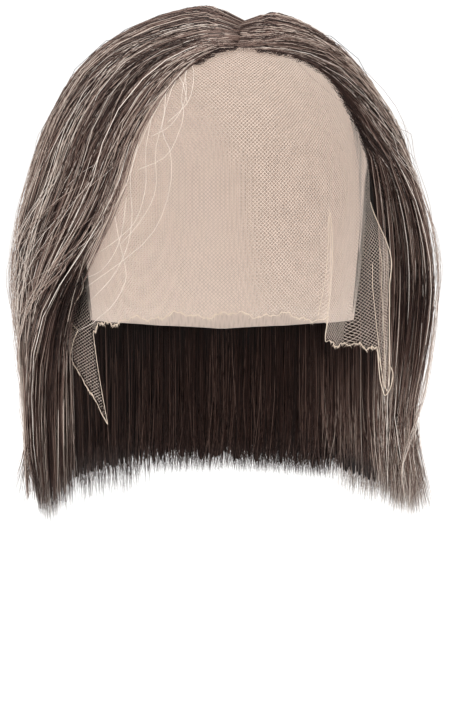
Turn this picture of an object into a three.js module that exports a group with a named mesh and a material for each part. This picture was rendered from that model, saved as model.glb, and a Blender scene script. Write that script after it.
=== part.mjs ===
// A straight bob wig with a lace front: a net cap, a sheer lace panel with loose side tabs, and the hair in
// three masses that part on top. Millimetres, +Z up, the face looks along -Y, +X is the viewer's right.
// The origin is the inside of the cap at the crown, where the wig sits.

import * as THREE from 'three';

// The form that the cap is made for: an average head of about 570 mm round.
const HEAD = {
  halfWidth: 80,
  halfLength: 100,
  crownRise: 95, // from the widest level up to the crown
  squareness: 2.4, // exponent of the upper profile, 2 would be an ellipse
  neckTaper: 0.16, // share of the width lost at the neck
  neckDrop: 100, // from the widest level down to the neck
  taperPower: 1.6,
};

// The outer form of the hair.
const HAIR = {
  halfWidth: 115,
  frontLength: 108,
  backLength: 130,
  rise: 141.5, // from the widest level up to the top
  widestHeight: -130,
  squareness: 2.1,
  hemHeight: -263,
  fallTaper: 0.07, // share of the width lost between the widest level and the hem
  fallPower: 1.5,
  hemRound: 7, // how far the tips turn in at the hem
  hemRoundShare: 0.16, // the share of the fall that turns in
  lockDepth: 2.2, // ripple of the locks at the hem
  lockDrop: 2.5, // how far the locks end above and below the hem height
  sectionsPerLock: 4,
};

// The share of that width on each side, by height: the right side lies flatter over the temple.
const SIDE_TRIM = [
  { height: 0, left: 1, right: 1 },
  { height: -18, left: 1.02, right: 0.96 },
  { height: -50, left: 1, right: 0.95 },
  { height: -84, left: 0.985, right: 0.975 },
  { height: -116, left: 1, right: 1.02 },
  { height: -166, left: 1.02, right: 1.04 },
  { height: -263, left: 1.03, right: 1.05 },
];

// The parting, a little to the viewer's right, from the hairline back to the crown.
const PARTING = {
  front: { x: 8, y: -59 },
  end: { x: 15, y: 26 },
  fullAt: 18, // the hair has its full thickness this far from the parting
  leanest: 0.14, // share of the thickness on the parting itself
};

const CAP_WALL = 1.2;
const LACE_WALL = 1;
const HAIR_GAP = 0.95; // between the cap and the hair knotted to it
const SEAM_GAP = 0.4; // between the lace and the cap
const PARTING_GAP = 0.3; // each side of the parting
const BACK_GAP = 0.5; // behind the end of the parting

const HAIR_BED = CAP_WALL + HAIR_GAP;
const UPPER_ARC = 150; // length of the head's profile from the crown to the widest level
const SIDE_FAN = 25; // degrees that the comb lines turn back from the front edge to the end of the parting
const BACK_FAN = 50; // degrees that they have turned at the edges of the back hair

// The seam between lace and cap, the same on both sides. Turn is in degrees round from the front.
const SEAM = [
  { turn: 0, height: -2.5 },
  { turn: 30, height: -4 },
  { turn: 50, height: -8 },
  { turn: 65, height: -18 },
  { turn: 78, height: -42 },
  { turn: 90, height: -66 },
  { turn: 100, height: -84 },
];

// The lower edge of the cap behind the lace, the same on both sides.
const CAP_EDGE = [
  { turn: 100, height: -162 },
  { turn: 120, height: -166 },
  { turn: 150, height: -171 },
  { turn: 180, height: -174 },
];

// The cut lower edge of the lace, from the pointed tab on the left to the rolled tail on the right.
const LACE_CUT = [
  { turn: -96, height: -180 },
  { turn: -90, height: -189 },
  { turn: -83, height: -200 },
  { turn: -76, height: -211 },
  { turn: -73, height: -215 },
  { turn: -70, height: -163 },
  { turn: -60, height: -159 },
  { turn: -45, height: -155 },
  { turn: -20, height: -150 },
  { turn: 10, height: -149 },
  { turn: 30, height: -151 },
  { turn: 45, height: -155 },
  { turn: 48, height: -166 },
  { turn: 62, height: -170 },
  { turn: 84, height: -174 },
  { turn: 87, height: -187 },
  { turn: 90, height: -197 },
  { turn: 94, height: -199 },
];

// Where each side tab leaves the head, straight on and a few degrees outward of the tangent, and hangs plumb.
// It comes loose between two heights, and each degree of turn past there is a length of lace.
const LACE_TABS = {
  left: { turn: 69, outward: 10, looseFrom: -141, looseAt: -164, plumbBelow: -215, arcPerDegree: 1.5 },
  right: { turn: 62, outward: 6, looseFrom: -90, looseAt: -132, plumbBelow: -140, arcPerDegree: 1.55 },
};

// The pinched pleat in the lace.
const PLEAT = { turn: 43.5, halfTurn: 4.5, proud: 5, startHeight: -85, fullHeight: -150 };

// The front edge of the hair on each side: how far forward it lies at each height, and the share of the
// full thickness that it has there.
const LEFT_EDGE = [
  { height: 0, y: -59, full: 0.6 },
  { height: -10, y: -61, full: 0.6 },
  { height: -22, y: -68, full: 0.55 },
  { height: -42, y: -79, full: 0.5 },
  { height: -64, y: -84, full: 0.5 },
  { height: -95, y: -82, full: 0.5 },
  { height: -109, y: -77, full: 0.5 },
  { height: -123, y: -64, full: 0.55 },
  { height: -132, y: -40, full: 0.7 },
  { height: -139, y: -8, full: 0.85 },
  { height: -146, y: 14, full: 0.95 },
  { height: -263, y: 14, full: 0.95 },
];
const RIGHT_EDGE = [
  { height: 0, y: -59, full: 0.5 },
  { height: -11, y: -50, full: 0.45 },
  { height: -17, y: -42, full: 0.45 },
  { height: -26, y: -36, full: 0.5 },
  { height: -53, y: -38, full: 0.5 },
  { height: -64, y: -26, full: 0.6 },
  { height: -73, y: -6, full: 0.75 },
  { height: -84, y: 13, full: 0.95 },
  { height: -263, y: 14, full: 0.95 },
];
const EDGE_SOFT = 0.3; // the share of the side over which it thickens to the full
const HALVINGS = 30; // enough to find the top of the hair to well under a micron
const LEVEL_FROM = 0.5; // the share of the upper head past which inner and outer points draw level

// How finely the pieces are divided.
const STEPS = {
  lacePerDegree: 0.2,
  laceRows: 14,
  capPerDegree: 0.13,
  capRows: 9,
  sideSections: 13,
  fanSections: 4,
  backSections: 11,
  upperRows: 9,
  fallRows: 13,
};

const radians = THREE.MathUtils.degToRad;

// The value in a column of a table at a place between its rows.
function between(table, key, column, at) {
  const rows = [...table].sort((p, q) => p[key] - q[key]);
  if (at <= rows[0][key]) {
    return rows[0][column];
  }
  const next = rows.findIndex((row) => row[key] >= at);
  if (next < 0) {
    return rows[rows.length - 1][column];
  }
  const [low, high] = [rows[next - 1], rows[next]];
  return THREE.MathUtils.mapLinear(at, low[key], high[key], low[column], high[column]);
}

// How far down the head's profile a height lies: 0 at the crown, 1 at the widest level, more below it.
function profileAt(height) {
  const level = height + HEAD.crownRise;
  if (level <= 0) {
    return 1 - level / UPPER_ARC;
  }
  const share = Math.min(level / HEAD.crownRise, 1);
  return Math.acos(share ** (HEAD.squareness / 2)) / (Math.PI / 2);
}

function profileHeight(profile, offset) {
  if (profile >= 1) {
    return -HEAD.crownRise - (profile - 1) * UPPER_ARC;
  }
  const rise = Math.cos((profile * Math.PI) / 2) ** (2 / HEAD.squareness);
  return -HEAD.crownRise + (HEAD.crownRise + offset) * rise;
}

// The share of the head's full width at a place on its profile.
function profileWidth(profile) {
  if (profile >= 1) {
    const below = ((profile - 1) * UPPER_ARC) / HEAD.neckDrop;
    return 1 - HEAD.neckTaper * below ** HEAD.taperPower;
  }
  return Math.sin((profile * Math.PI) / 2) ** (2 / HEAD.squareness);
}

// A point on the head form, moved out by an offset.
function headPoint(turn, profile, offset) {
  const width = profileWidth(profile);
  return new THREE.Vector3(
    (HEAD.halfWidth + offset) * width * Math.sin(radians(turn)),
    -(HEAD.halfLength + offset) * width * Math.cos(radians(turn)),
    profileHeight(profile, offset),
  );
}

// Joins closed loops into one solid. Each loop runs down the outer face and back up the inner one.
function sweptSolid(loops, joined) {
  const places = new Map();
  const positions = [];
  const triangles = [];
  const size = loops[0].length;
  const corner = (point) => {
    const key = point.toArray().map((value) => value.toFixed(3)).join(' ');
    if (!places.has(key)) {
      places.set(key, positions.length / 3);
      positions.push(...point.toArray());
    }
    return places.get(key);
  };
  const index = loops.map((loop) => loop.map(corner));
  const triangle = (a, b, c) => {
    if (a !== b && b !== c && c !== a) {
      triangles.push(a, b, c);
    }
  };
  const quad = (a, b, c, d) => {
    triangle(a, b, c);
    triangle(a, c, d);
  };
  const last = joined ? loops.length : loops.length - 1;
  for (let i = 0; i < last; i += 1) {
    const here = index[i];
    const there = index[(i + 1) % loops.length];
    for (let k = 0; k < size; k += 1) {
      const next = (k + 1) % size;
      quad(here[k], here[next], there[next], there[k]);
    }
  }
  if (!joined) {
    const [first, end] = [index[0], index[loops.length - 1]];
    for (let k = 0; k + 1 < size / 2; k += 1) {
      const [back, backNext] = [size - 1 - k, size - 2 - k];
      quad(first[k], first[back], first[backNext], first[k + 1]);
      quad(end[k], end[k + 1], end[backNext], end[back]);
    }
  }
  const geometry = new THREE.BufferGeometry();
  geometry.setAttribute('position', new THREE.Float32BufferAttribute(positions, 3));
  geometry.setIndex(facingOut(positions, triangles));
  geometry.computeVertexNormals();
  return geometry;
}

// The triangles, turned round if they enclose a negative volume.
function facingOut(positions, triangles) {
  const point = (i) => new THREE.Vector3().fromArray(positions, 3 * i);
  let volume = 0;
  for (let i = 0; i < triangles.length; i += 3) {
    const [a, b, c] = [0, 1, 2].map((k) => point(triangles[i + k]));
    volume += a.dot(b.cross(c));
  }
  return volume < 0 ? triangles.reverse() : triangles;
}

function loopOf(outer, inner) {
  return [...outer, ...inner.reverse()];
}

function seamHeight(turn) {
  return between(SEAM, 'turn', 'height', Math.abs(turn));
}

// A point on the lace: on the head form, straight off it at the side tabs, and proud of it at the pleat.
function lacePoint(turn, profile, offset) {
  const point = headPoint(turn, profile, offset);
  const tab = turn < 0 ? LACE_TABS.left : LACE_TABS.right;
  const past = Math.abs(turn) - tab.turn;
  if (past > 0) {
    const side = Math.sign(turn);
    const level = Math.min(profile, profileAt(tab.plumbBelow));
    const root = headPoint(side * tab.turn, level, offset);
    const ahead = headPoint(side * (tab.turn + 1), level, offset);
    const away = ahead.sub(root).setZ(0).normalize();
    away.applyAxisAngle(new THREE.Vector3(0, 0, 1), -side * radians(tab.outward));
    const loose = THREE.MathUtils.smoothstep(-point.z, -tab.looseFrom, -tab.looseAt);
    point.lerp(root.addScaledVector(away, past * tab.arcPerDegree).setZ(point.z), loose);
  }
  const off = Math.abs(turn - PLEAT.turn) / PLEAT.halfTurn;
  if (off < 1) {
    const grown = THREE.MathUtils.smoothstep(-point.z, -PLEAT.startHeight, -PLEAT.fullHeight);
    const proud = PLEAT.proud * grown * Math.cos((off * Math.PI) / 2) ** 2;
    point.addScaledVector(new THREE.Vector3(point.x, point.y, 0).normalize(), proud);
  }
  return point;
}

// Turns from the first to the last of some stops, through all of them, with even steps in between.
function turnsThrough(stops, perDegree) {
  const sorted = [...new Set(stops)].sort((p, q) => p - q);
  const turns = [sorted[0]];
  for (const stop of sorted.slice(1)) {
    const from = turns[turns.length - 1];
    const count = Math.max(1, Math.round((stop - from) * perDegree));
    for (let k = 1; k <= count; k += 1) {
      turns.push(THREE.MathUtils.lerp(from, stop, k / count));
    }
  }
  return turns;
}

function laceTurns() {
  const cut = LACE_CUT.map((row) => row.turn);
  const pleat = [-1, -0.5, 0, 0.5, 1].map((edge) => PLEAT.turn + edge * PLEAT.halfTurn);
  return turnsThrough([...cut, ...pleat], STEPS.lacePerDegree);
}

function laceFront() {
  const loops = laceTurns().map((turn) => {
    const top = profileAt(seamHeight(turn)) + SEAM_GAP / UPPER_ARC;
    const bottom = profileAt(between(LACE_CUT, 'turn', 'height', turn));
    const face = (offset) => {
      const points = [];
      for (let row = 0; row <= STEPS.laceRows; row += 1) {
        const profile = THREE.MathUtils.lerp(top, bottom, row / STEPS.laceRows);
        points.push(lacePoint(turn, profile, offset));
      }
      return points;
    };
    return loopOf(face(LACE_WALL), face(0));
  });
  return sweptSolid(loops, false);
}

function capBottom(turn) {
  const round = turn > 180 ? 360 - turn : Math.abs(turn);
  if (round < CAP_EDGE[0].turn) {
    return profileAt(seamHeight(round));
  }
  return profileAt(between(CAP_EDGE, 'turn', 'height', round));
}

// The cap's turns are the lace's along the seam, and then even ones round the back.
function capTurns() {
  const front = laceTurns();
  const edges = CAP_EDGE.flatMap((row) => [row.turn, 360 - row.turn]);
  const back = turnsThrough([front[front.length - 1], ...edges, front[0] + 360], STEPS.capPerDegree);
  return [...front, ...back.slice(1, -1)];
}

function wigCap() {
  const loops = capTurns().map((turn) => {
    const bottom = capBottom(turn);
    const face = (offset) => {
      const points = [];
      for (let row = 0; row <= STEPS.capRows; row += 1) {
        points.push(headPoint(turn, (bottom * row) / STEPS.capRows, offset));
      }
      return points;
    };
    return loopOf(face(CAP_WALL), face(0));
  });
  return sweptSolid(loops, true);
}

// How far a ray from a root reaches to an ellipse with its own lengths before and behind the middle.
function reachTo(root, away, halfWidth, frontLength, backLength) {
  const reach = (length) => {
    const a = (away.x / halfWidth) ** 2 + (away.y / length) ** 2;
    const b = (root.x * away.x) / halfWidth ** 2 + (root.y * away.y) / length ** 2;
    const c = (root.x / halfWidth) ** 2 + (root.y / length) ** 2 - 1;
    return (-b + Math.sqrt(Math.max(b * b - a * c, 0))) / a;
  };
  const front = reach(frontLength);
  return root.y + away.y * front < 0 ? front : reach(backLength);
}

// The share of the hair's full width at a height, on the side that x is on.
function hairWidth(height, x) {
  const trim = between(SIDE_TRIM, 'height', x < 0 ? 'left' : 'right', height);
  const level = (height - HAIR.widestHeight) / HAIR.rise;
  if (level > 0) {
    return trim * (1 - Math.min(level, 1) ** HAIR.squareness) ** (1 / HAIR.squareness);
  }
  const down = (HAIR.widestHeight - height) / (HAIR.widestHeight - HAIR.hemHeight);
  return trim * (1 - HAIR.fallTaper * Math.min(down, 1) ** HAIR.fallPower);
}

// The height of the top of the hair over a place, found by halving.
function hairTop(x, y) {
  const reach = Math.hypot(x / HAIR.halfWidth, y / (y < 0 ? HAIR.frontLength : HAIR.backLength));
  let [low, high] = [HAIR.widestHeight, HAIR.widestHeight + HAIR.rise];
  for (let halving = 0; halving < HALVINGS; halving += 1) {
    const middle = (low + high) / 2;
    [low, high] = hairWidth(middle, x) > reach ? [middle, high] : [low, middle];
  }
  return low;
}

function bedTop(x, y) {
  const width = HEAD.halfWidth + HAIR_BED;
  const length = HEAD.halfLength + HAIR_BED;
  const share = Math.min(Math.hypot(x / width, y / length), 1);
  const rise = (1 - share ** HEAD.squareness) ** (1 / HEAD.squareness);
  return -HEAD.crownRise + (HEAD.crownRise + HAIR_BED) * rise;
}

// The closed outline of the hair in one comb line, from its root over the head and down to the hem.
// Line has rootAt(height), its way out, fullAt(height), the share of its thickness, and its lock's number.
function combLoop(line) {
  const outer = [];
  const inner = [];
  const place = (root, along, height) =>
    new THREE.Vector3(root.x + line.away.x * along, root.y + line.away.y * along, height);
  const [bedWidth, bedLength] = [HEAD.halfWidth + HAIR_BED, HEAD.halfLength + HAIR_BED];
  const bedReach = (root) => reachTo(root, line.away, bedWidth, bedLength, bedLength);
  const hairReach = (root, spread) =>
    reachTo(root, line.away, HAIR.halfWidth * spread, HAIR.frontLength * spread, HAIR.backLength * spread);
  for (let row = 0; row <= STEPS.upperRows; row += 1) {
    const share = row / STEPS.upperRows;
    const across = Math.sin((share * Math.PI) / 2);
    const root = line.rootAt(profileHeight(share, 0));
    const low = place(root, bedReach(root) * across, 0);
    low.z = bedTop(low.x, low.y);
    const over = place(root, hairReach(root, 1) * across, 0);
    const levelled = THREE.MathUtils.smoothstep(share, LEVEL_FROM, 1);
    const height = THREE.MathUtils.lerp(hairTop(over.x, over.y), low.z, levelled);
    const along = levelled > 0 ? hairReach(root, hairWidth(height, over.x)) : hairReach(root, 1) * across;
    const risen = THREE.MathUtils.smoothstep(along, 0, PARTING.fullAt);
    const full = THREE.MathUtils.lerp(PARTING.leanest, line.fullAt(low.z), risen);
    outer.push(low.clone().lerp(place(root, along, height), full));
    inner.push(low);
  }
  const ripple = Math.cos((2 * Math.PI * line.lock) / HAIR.sectionsPerLock);
  const hem = HAIR.hemHeight - HAIR.lockDrop * ripple;
  for (let row = 1; row <= STEPS.fallRows; row += 1) {
    const down = row / STEPS.fallRows;
    const height = THREE.MathUtils.lerp(-HEAD.crownRise, hem, down);
    const root = line.rootAt(height);
    const turnedIn = THREE.MathUtils.smoothstep(down, 1 - HAIR.hemRoundShare, 1) * HAIR.hemRound;
    const bed = bedReach(root);
    const width = hairWidth(height, line.away.x);
    const full = hairReach(root, width) + HAIR.lockDepth * down * ripple - turnedIn;
    outer.push(place(root, THREE.MathUtils.lerp(bed, full, line.fullAt(height)), height));
    inner.push(place(root, bed, height));
  }
  return loopOf(outer, inner);
}

// Comb lines from the front edge to the end of the parting, and then fanned round its end.
function sideHair(side, edge) {
  const loops = [];
  const gap = side * PARTING_GAP;
  const way = (degrees) => new THREE.Vector2(side * Math.cos(radians(degrees)), Math.sin(radians(degrees)));
  for (let step = 0; step < STEPS.sideSections; step += 1) {
    const share = step / (STEPS.sideSections - 1);
    const rootX = THREE.MathUtils.lerp(PARTING.front.x, PARTING.end.x, share) + gap;
    const rootAt = (height) => {
      const edgeY = between(edge, 'height', 'y', height);
      return new THREE.Vector2(rootX, THREE.MathUtils.lerp(edgeY, PARTING.end.y, share));
    };
    const inside = THREE.MathUtils.smoothstep(share, 0, EDGE_SOFT);
    const fullAt = (height) => THREE.MathUtils.lerp(between(edge, 'height', 'full', height), 1, inside);
    loops.push(combLoop({ rootAt, fullAt, away: way(SIDE_FAN * share), lock: step }));
  }
  const end = new THREE.Vector2(PARTING.end.x + gap, PARTING.end.y);
  for (let step = 1; step <= STEPS.fanSections; step += 1) {
    const away = way(THREE.MathUtils.lerp(SIDE_FAN, BACK_FAN, step / STEPS.fanSections));
    const lock = STEPS.sideSections - 1 + step;
    loops.push(combLoop({ rootAt: () => end, fullAt: () => 1, away, lock }));
  }
  return sweptSolid(loops, false);
}

function backHair() {
  const loops = [];
  const end = new THREE.Vector2(PARTING.end.x, PARTING.end.y + BACK_GAP);
  for (let step = 0; step <= STEPS.backSections; step += 1) {
    const fan = radians(THREE.MathUtils.lerp(BACK_FAN, 180 - BACK_FAN, step / STEPS.backSections));
    const away = new THREE.Vector2(Math.cos(fan), Math.sin(fan));
    loops.push(combLoop({ rootAt: () => end, fullAt: () => 1, away, lock: step }));
  }
  return sweptSolid(loops, false);
}

const hairFinish = { color: 0x4a3d38, roughness: 0.5, metalness: 0 };
const laceFinish = { color: 0xd9c8b2, roughness: 0.9, metalness: 0 };
const capFinish = { color: 0xc4ad96, roughness: 0.9, metalness: 0 };

function piece(name, geometry, finish) {
  const mesh = new THREE.Mesh(geometry, new THREE.MeshStandardMaterial(finish));
  mesh.name = name;
  return mesh;
}

const wig = new THREE.Group();
wig.add(piece('lace_front', laceFront(), laceFinish));
wig.add(piece('wig_cap', wigCap(), capFinish));
wig.add(piece('hair_left', sideHair(-1, LEFT_EDGE), hairFinish));
wig.add(piece('hair_right', sideHair(1, RIGHT_EDGE), hairFinish));
wig.add(piece('hair_back', backHair(), hairFinish));

export default wig;
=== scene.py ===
"""A straight bob wig with a lace front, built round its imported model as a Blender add-on.

Shapes are worked out in millimetres and turned to metres where a mesh is made. +Z is up, the face looks
along -Y, and the origin is the inside of the cap at the crown.
"""

import math

import bmesh
import bpy
import numpy as np
from mathutils import Matrix, Vector


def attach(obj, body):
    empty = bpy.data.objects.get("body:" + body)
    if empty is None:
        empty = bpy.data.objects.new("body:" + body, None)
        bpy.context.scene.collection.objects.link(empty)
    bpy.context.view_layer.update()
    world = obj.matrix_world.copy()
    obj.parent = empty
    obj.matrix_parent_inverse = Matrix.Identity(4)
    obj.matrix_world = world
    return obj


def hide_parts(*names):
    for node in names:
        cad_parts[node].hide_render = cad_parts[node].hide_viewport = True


bl_info = {
    "name": "Lace Front Wig",
    "version": (1, 0, 0),
    "blender": (4, 5, 0),
    "location": "View3D > Sidebar > Wig",
    "description": "Builds the net cap, the lace front and the combed hair of a straight bob wig",
    "category": "Add Mesh",
}

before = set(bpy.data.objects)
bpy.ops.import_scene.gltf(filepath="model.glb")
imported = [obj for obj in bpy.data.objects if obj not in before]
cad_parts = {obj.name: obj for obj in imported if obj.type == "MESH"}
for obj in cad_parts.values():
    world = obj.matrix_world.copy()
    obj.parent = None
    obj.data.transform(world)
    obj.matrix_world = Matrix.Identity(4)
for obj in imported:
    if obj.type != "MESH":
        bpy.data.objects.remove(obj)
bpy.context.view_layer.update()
BODY = "root"
MM = 0.001


def columns(names, *rows):
    """A short table as one array for each named column, in the order of its first column."""
    ordered = np.array(sorted(rows), float).T
    return dict(zip(names.split(), ordered))


def between(chart, column, at):
    """The value of a column at a place between the table's rows."""
    key = next(iter(chart))
    return np.interp(at, chart[key], chart[column])


def smooth(at, start, end):
    """0 up to start, 1 from end on, and an even curve in between."""
    share = np.clip((at - start) / (end - start), 0, 1)
    return share * share * (3 - 2 * share)


def lerp(a, b, share):
    return a + (b - a) * share


def unit(vectors):
    return vectors / np.linalg.norm(vectors, axis=-1, keepdims=True).clip(1e-9)


def level_out(points):
    """The level way out from the upright axis at points."""
    out = np.zeros_like(points)
    out[..., :2] = unit(points[..., :2])
    return out


def pushed_out(points, distance):
    """Points moved level, straight out from the upright axis."""
    return points + level_out(points) * distance[..., None]


def softened(lines, free, times):
    """Lines of points with their sharp bends taken out, where they are free to move."""
    lines = lines.copy()
    for _ in range(times):
        even = (lines[:, :-2] + 2 * lines[:, 1:-1] + lines[:, 2:]) / 4
        lines[:, 1:-1] = lerp(lines[:, 1:-1], even, free)
    return lines


# The form that the cap is made for, in millimetres
HEAD_HALF_WIDTH = 80.0
HEAD_HALF_LENGTH = 100.0
CROWN_RISE = 95.0
HEAD_SQUARENESS = 2.4
NECK_TAPER = 0.16
NECK_DROP = 100.0
TAPER_POWER = 1.6
UPPER_ARC = 150.0

# The outer form of the hair
HAIR_HALF_WIDTH = 115.0
HAIR_FRONT = 108.0
HAIR_BACK = 130.0
HAIR_SIZE = (HAIR_HALF_WIDTH, HAIR_FRONT, HAIR_BACK)
HAIR_RISE = 141.5
HAIR_WIDEST = -130.0
HAIR_SQUARENESS = 2.1
HEM = -263.0
FALL_TAPER = 0.07
FALL_POWER = 1.5
# How often a span is halved to find the top of the hair, and where along the head that top starts to come
# level with the bed
HALVINGS = 30
LEVEL_FROM = 0.5
# The bed that the hair lies on is this far off the head
HAIR_BED = 2.15
BED_SIZE = (HEAD_HALF_WIDTH + HAIR_BED, HEAD_HALF_LENGTH + HAIR_BED, HEAD_HALF_LENGTH + HAIR_BED)
# The share of the hair's width on each side, which is fuller at the cheeks and drawn in above the right tips
SIDE_TRIM = columns(
    "height left right",
    (0, 1.02, 1.04), (-18, 1.03, 0.98), (-50, 0.975, 0.95), (-84, 0.955, 0.985),
    (-116, 1, 1.065), (-150, 1.01, 1.065), (-166, 1, 1.05), (-190, 1, 1.04),
    (-218, 1.01, 1), (-234, 1.015, 0.93), (-246, 1.025, 0.925), (-263, 1.03, 0.97),
)

# The parting, and how the comb lines fan round its end, in degrees
PARTING_FRONT_X = 8.0
PARTING_END = (15.0, 26.0)
PARTING_FULL_AT = 18.0
PARTING_LEANEST = 0.14
GROOVE_FULL_AT = 75.0
GROOVE_WIDTH = 0.4
PARTING_GAP = -0.5
SIDE_FAN = 25.0
BACK_FAN = 50.0
EDGE_SOFT = 0.3
# Behind the front edge the comb lines follow the edge averaged over these steps of height
SWEEP_STEPS = np.linspace(-42, 42, 9)
# The least thickness of the hair
THIN_LAYER = 1.2
# The share of the left fall's thickness that its front leaves free for the lace's loose tab, and from where
TAB_ROOM = 0.24
TAB_ROOM_FROM = (1.0, 1.2)
# How often the comb lines are rounded, and where along them that begins and ends
RELAXINGS = 14
RELAXED_FROM = (0.05, 0.3)
RELAXED_TO = (1.7, 1.95)

# The front edge of the hair: how far forward it lies, and its share of the full thickness. On the left the
# strands lie over the lace as a thin layer, further forward than the solid.
LEFT_EDGE = columns(
    "height y full",
    (0, -64, 0.6), (-1, -67, 0.6), (-3, -72, 0.6), (-7, -76, 0.6), (-12, -78.5, 0.55), (-18, -81.5, 0.55),
    (-30, -83.5, 0.5), (-76, -83.5, 0.5), (-100, -82, 0.5), (-114, -78, 0.5), (-122, -73, 0.5),
    (-129, -66, 0.55), (-136, -56, 0.65), (-142, -38, 0.75), (-149, -16, 0.85), (-156, -6, 0.9),
    (-170, 2, 0.95), (-195, 9, 0.95), (-225, 13, 0.95), (-263, 14, 0.95),
)
RIGHT_EDGE = columns(
    "height y full",
    (0, -64, 0.5), (-5, -57, 0.45), (-11, -50, 0.45), (-17, -42, 0.45), (-26, -36, 0.5), (-53, -38, 0.5),
    (-64, -26, 0.6), (-73, -6, 0.75), (-84, 13, 0.95), (-263, 14, 0.95),
)
EDGES = {-1: LEFT_EDGE, 0: None, 1: RIGHT_EDGE}

# The cap's and the lace's edges: degrees round from the front, and height
CAP_WALL = 1.2
LACE_WALL = 1.0
SEAM_END = 100.0
SEAM = columns(
    "turn height",
    (0, -2.5), (30, -4), (50, -8), (65, -18), (78, -42), (90, -66), (100, -84),
)
CAP_EDGE = columns("turn height", (100, -162), (120, -166), (150, -171), (180, -174))
LACE_CUT = columns(
    "turn height",
    (-96, -180), (-90, -189), (-83, -200), (-76, -211), (-73, -215), (-70, -163), (-60, -159), (-45, -155),
    (-20, -150), (10, -149), (30, -151), (45, -155), (48, -166), (62, -170), (84, -174), (87, -187),
    (90, -197), (94, -199),
)
LEFT_TAB = {
    "turn": 69, "outward": 10, "loose_from": -141, "loose_at": -164, "plumb_below": -215,
    "arc": 1.5, "eased": 2,
}
RIGHT_TAB = {
    "turn": 62, "outward": 6, "loose_from": -90, "loose_at": -132, "plumb_below": -140,
    "arc": 1.55, "eased": 7,
}
PLEAT = {"turn": 43.5, "half_turn": 4.5, "proud": 5, "start": -85, "full": -150}
# Waves of the cut edge, which was trimmed by hand: their size, pace and start
CUT_WAVES = ((1.2, 0.3, 0.4), (0.8, 0.71, 2), (0.4, 1.9, 0))


def cut_height(turn):
    """The height of the lace's cut edge, which runs unevenly."""
    uneven = sum(size * np.sin(turn * pace + start) for size, pace, start in CUT_WAVES)
    return between(LACE_CUT, "height", turn) + uneven


def profile_at(height):
    """How far down the head's profile a height lies: 0 at the crown, 1 at the widest level, more below it."""
    level = np.asarray(height, float) + CROWN_RISE
    share = np.clip(level / CROWN_RISE, 0, 1)
    upper = np.arccos(share ** (HEAD_SQUARENESS / 2)) / (math.pi / 2)
    return np.where(level <= 0, 1 - level / UPPER_ARC, upper)


def profile_height(profile, offset=0.0):
    upper = np.cos(np.clip(profile, 0, 1) * math.pi / 2).clip(0) ** (2 / HEAD_SQUARENESS)
    below = np.maximum(profile - 1, 0) * UPPER_ARC
    return -CROWN_RISE + (CROWN_RISE + offset) * upper - below


def profile_width(profile):
    """The share of the head's full width at a place on its profile."""
    upper = np.sin(np.clip(profile, 0, 1) * math.pi / 2) ** (2 / HEAD_SQUARENESS)
    below = np.maximum(profile - 1, 0) * UPPER_ARC / NECK_DROP
    return upper - NECK_TAPER * below**TAPER_POWER


def head_point(turn, profile, offset=0.0):
    """Points on the head form, moved out by an offset."""
    width = profile_width(profile)
    angle = np.radians(turn)
    return np.stack(
        np.broadcast_arrays(
            (HEAD_HALF_WIDTH + offset) * width * np.sin(angle),
            -(HEAD_HALF_LENGTH + offset) * width * np.cos(angle),
            profile_height(profile, offset),
        ),
        axis=-1,
    )


def off_head(point, turn, profile, offset, tab, side):
    """Points of a side tab, which leaves the head straight on and hangs plumb."""
    past = np.abs(turn) - tab["turn"]
    level = np.minimum(profile, profile_at(tab["plumb_below"]))
    root = head_point(np.full_like(turn, side * tab["turn"]), level, offset)
    ahead = head_point(np.full_like(turn, side * (tab["turn"] + 1)), level, offset)
    away = unit((ahead - root)[..., :2])
    angle = -side * math.radians(tab["outward"])
    turned = np.array([[math.cos(angle), math.sin(angle)], [-math.sin(angle), math.cos(angle)]])
    away = away @ turned
    straight = root.copy()
    straight[..., :2] += away * (past * tab["arc"])[..., None]
    straight[..., 2] = point[..., 2]
    loose = smooth(-point[..., 2], -tab["loose_from"], -tab["loose_at"])
    loose = np.where(np.sign(turn) == side, loose * smooth(past, 0, tab["eased"]), 0)
    return lerp(point, straight, loose[..., None])


def lace_point(turn, profile, offset=0.0):
    """Points on the lace: on the head form, straight off it at the tabs, and proud of it at the pleat."""
    turn, profile = np.broadcast_arrays(np.asarray(turn, float), np.asarray(profile, float))
    point = head_point(turn, profile, offset)
    point = off_head(point, turn, profile, offset, LEFT_TAB, -1)
    point = off_head(point, turn, profile, offset, RIGHT_TAB, 1)
    off = np.clip(np.abs(turn - PLEAT["turn"]) / PLEAT["half_turn"], 0, 1)
    grown = smooth(-point[..., 2], -PLEAT["start"], -PLEAT["full"])
    return pushed_out(point, PLEAT["proud"] * grown * np.cos(off * math.pi / 2) ** 2)


def reach_to(root, away, half_width, front, back):
    """How far rays from roots reach to an ellipse with its own lengths before and behind the middle."""

    def reach(length):
        a = (away[..., 0] / half_width) ** 2 + (away[..., 1] / length) ** 2
        b = root[..., 0] * away[..., 0] / half_width**2 + root[..., 1] * away[..., 1] / length**2
        c = (root[..., 0] / half_width) ** 2 + (root[..., 1] / length) ** 2 - 1
        return (-b + np.sqrt(np.maximum(b * b - a * c, 0))) / a

    ahead = reach(front)
    return np.where(root[..., 1] + away[..., 1] * ahead < 0, ahead, reach(back))


def hair_width(height, x):
    """The share of the hair's full width at a height, on the side that x is on."""
    trim = np.where(x < 0, between(SIDE_TRIM, "left", height), between(SIDE_TRIM, "right", height))
    level = np.clip((height - HAIR_WIDEST) / HAIR_RISE, 0, 1)
    upper = (1 - level**HAIR_SQUARENESS) ** (1 / HAIR_SQUARENESS)
    down = np.clip((HAIR_WIDEST - height) / (HAIR_WIDEST - HEM), 0, 1)
    return trim * upper * (1 - FALL_TAPER * down**FALL_POWER)


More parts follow.
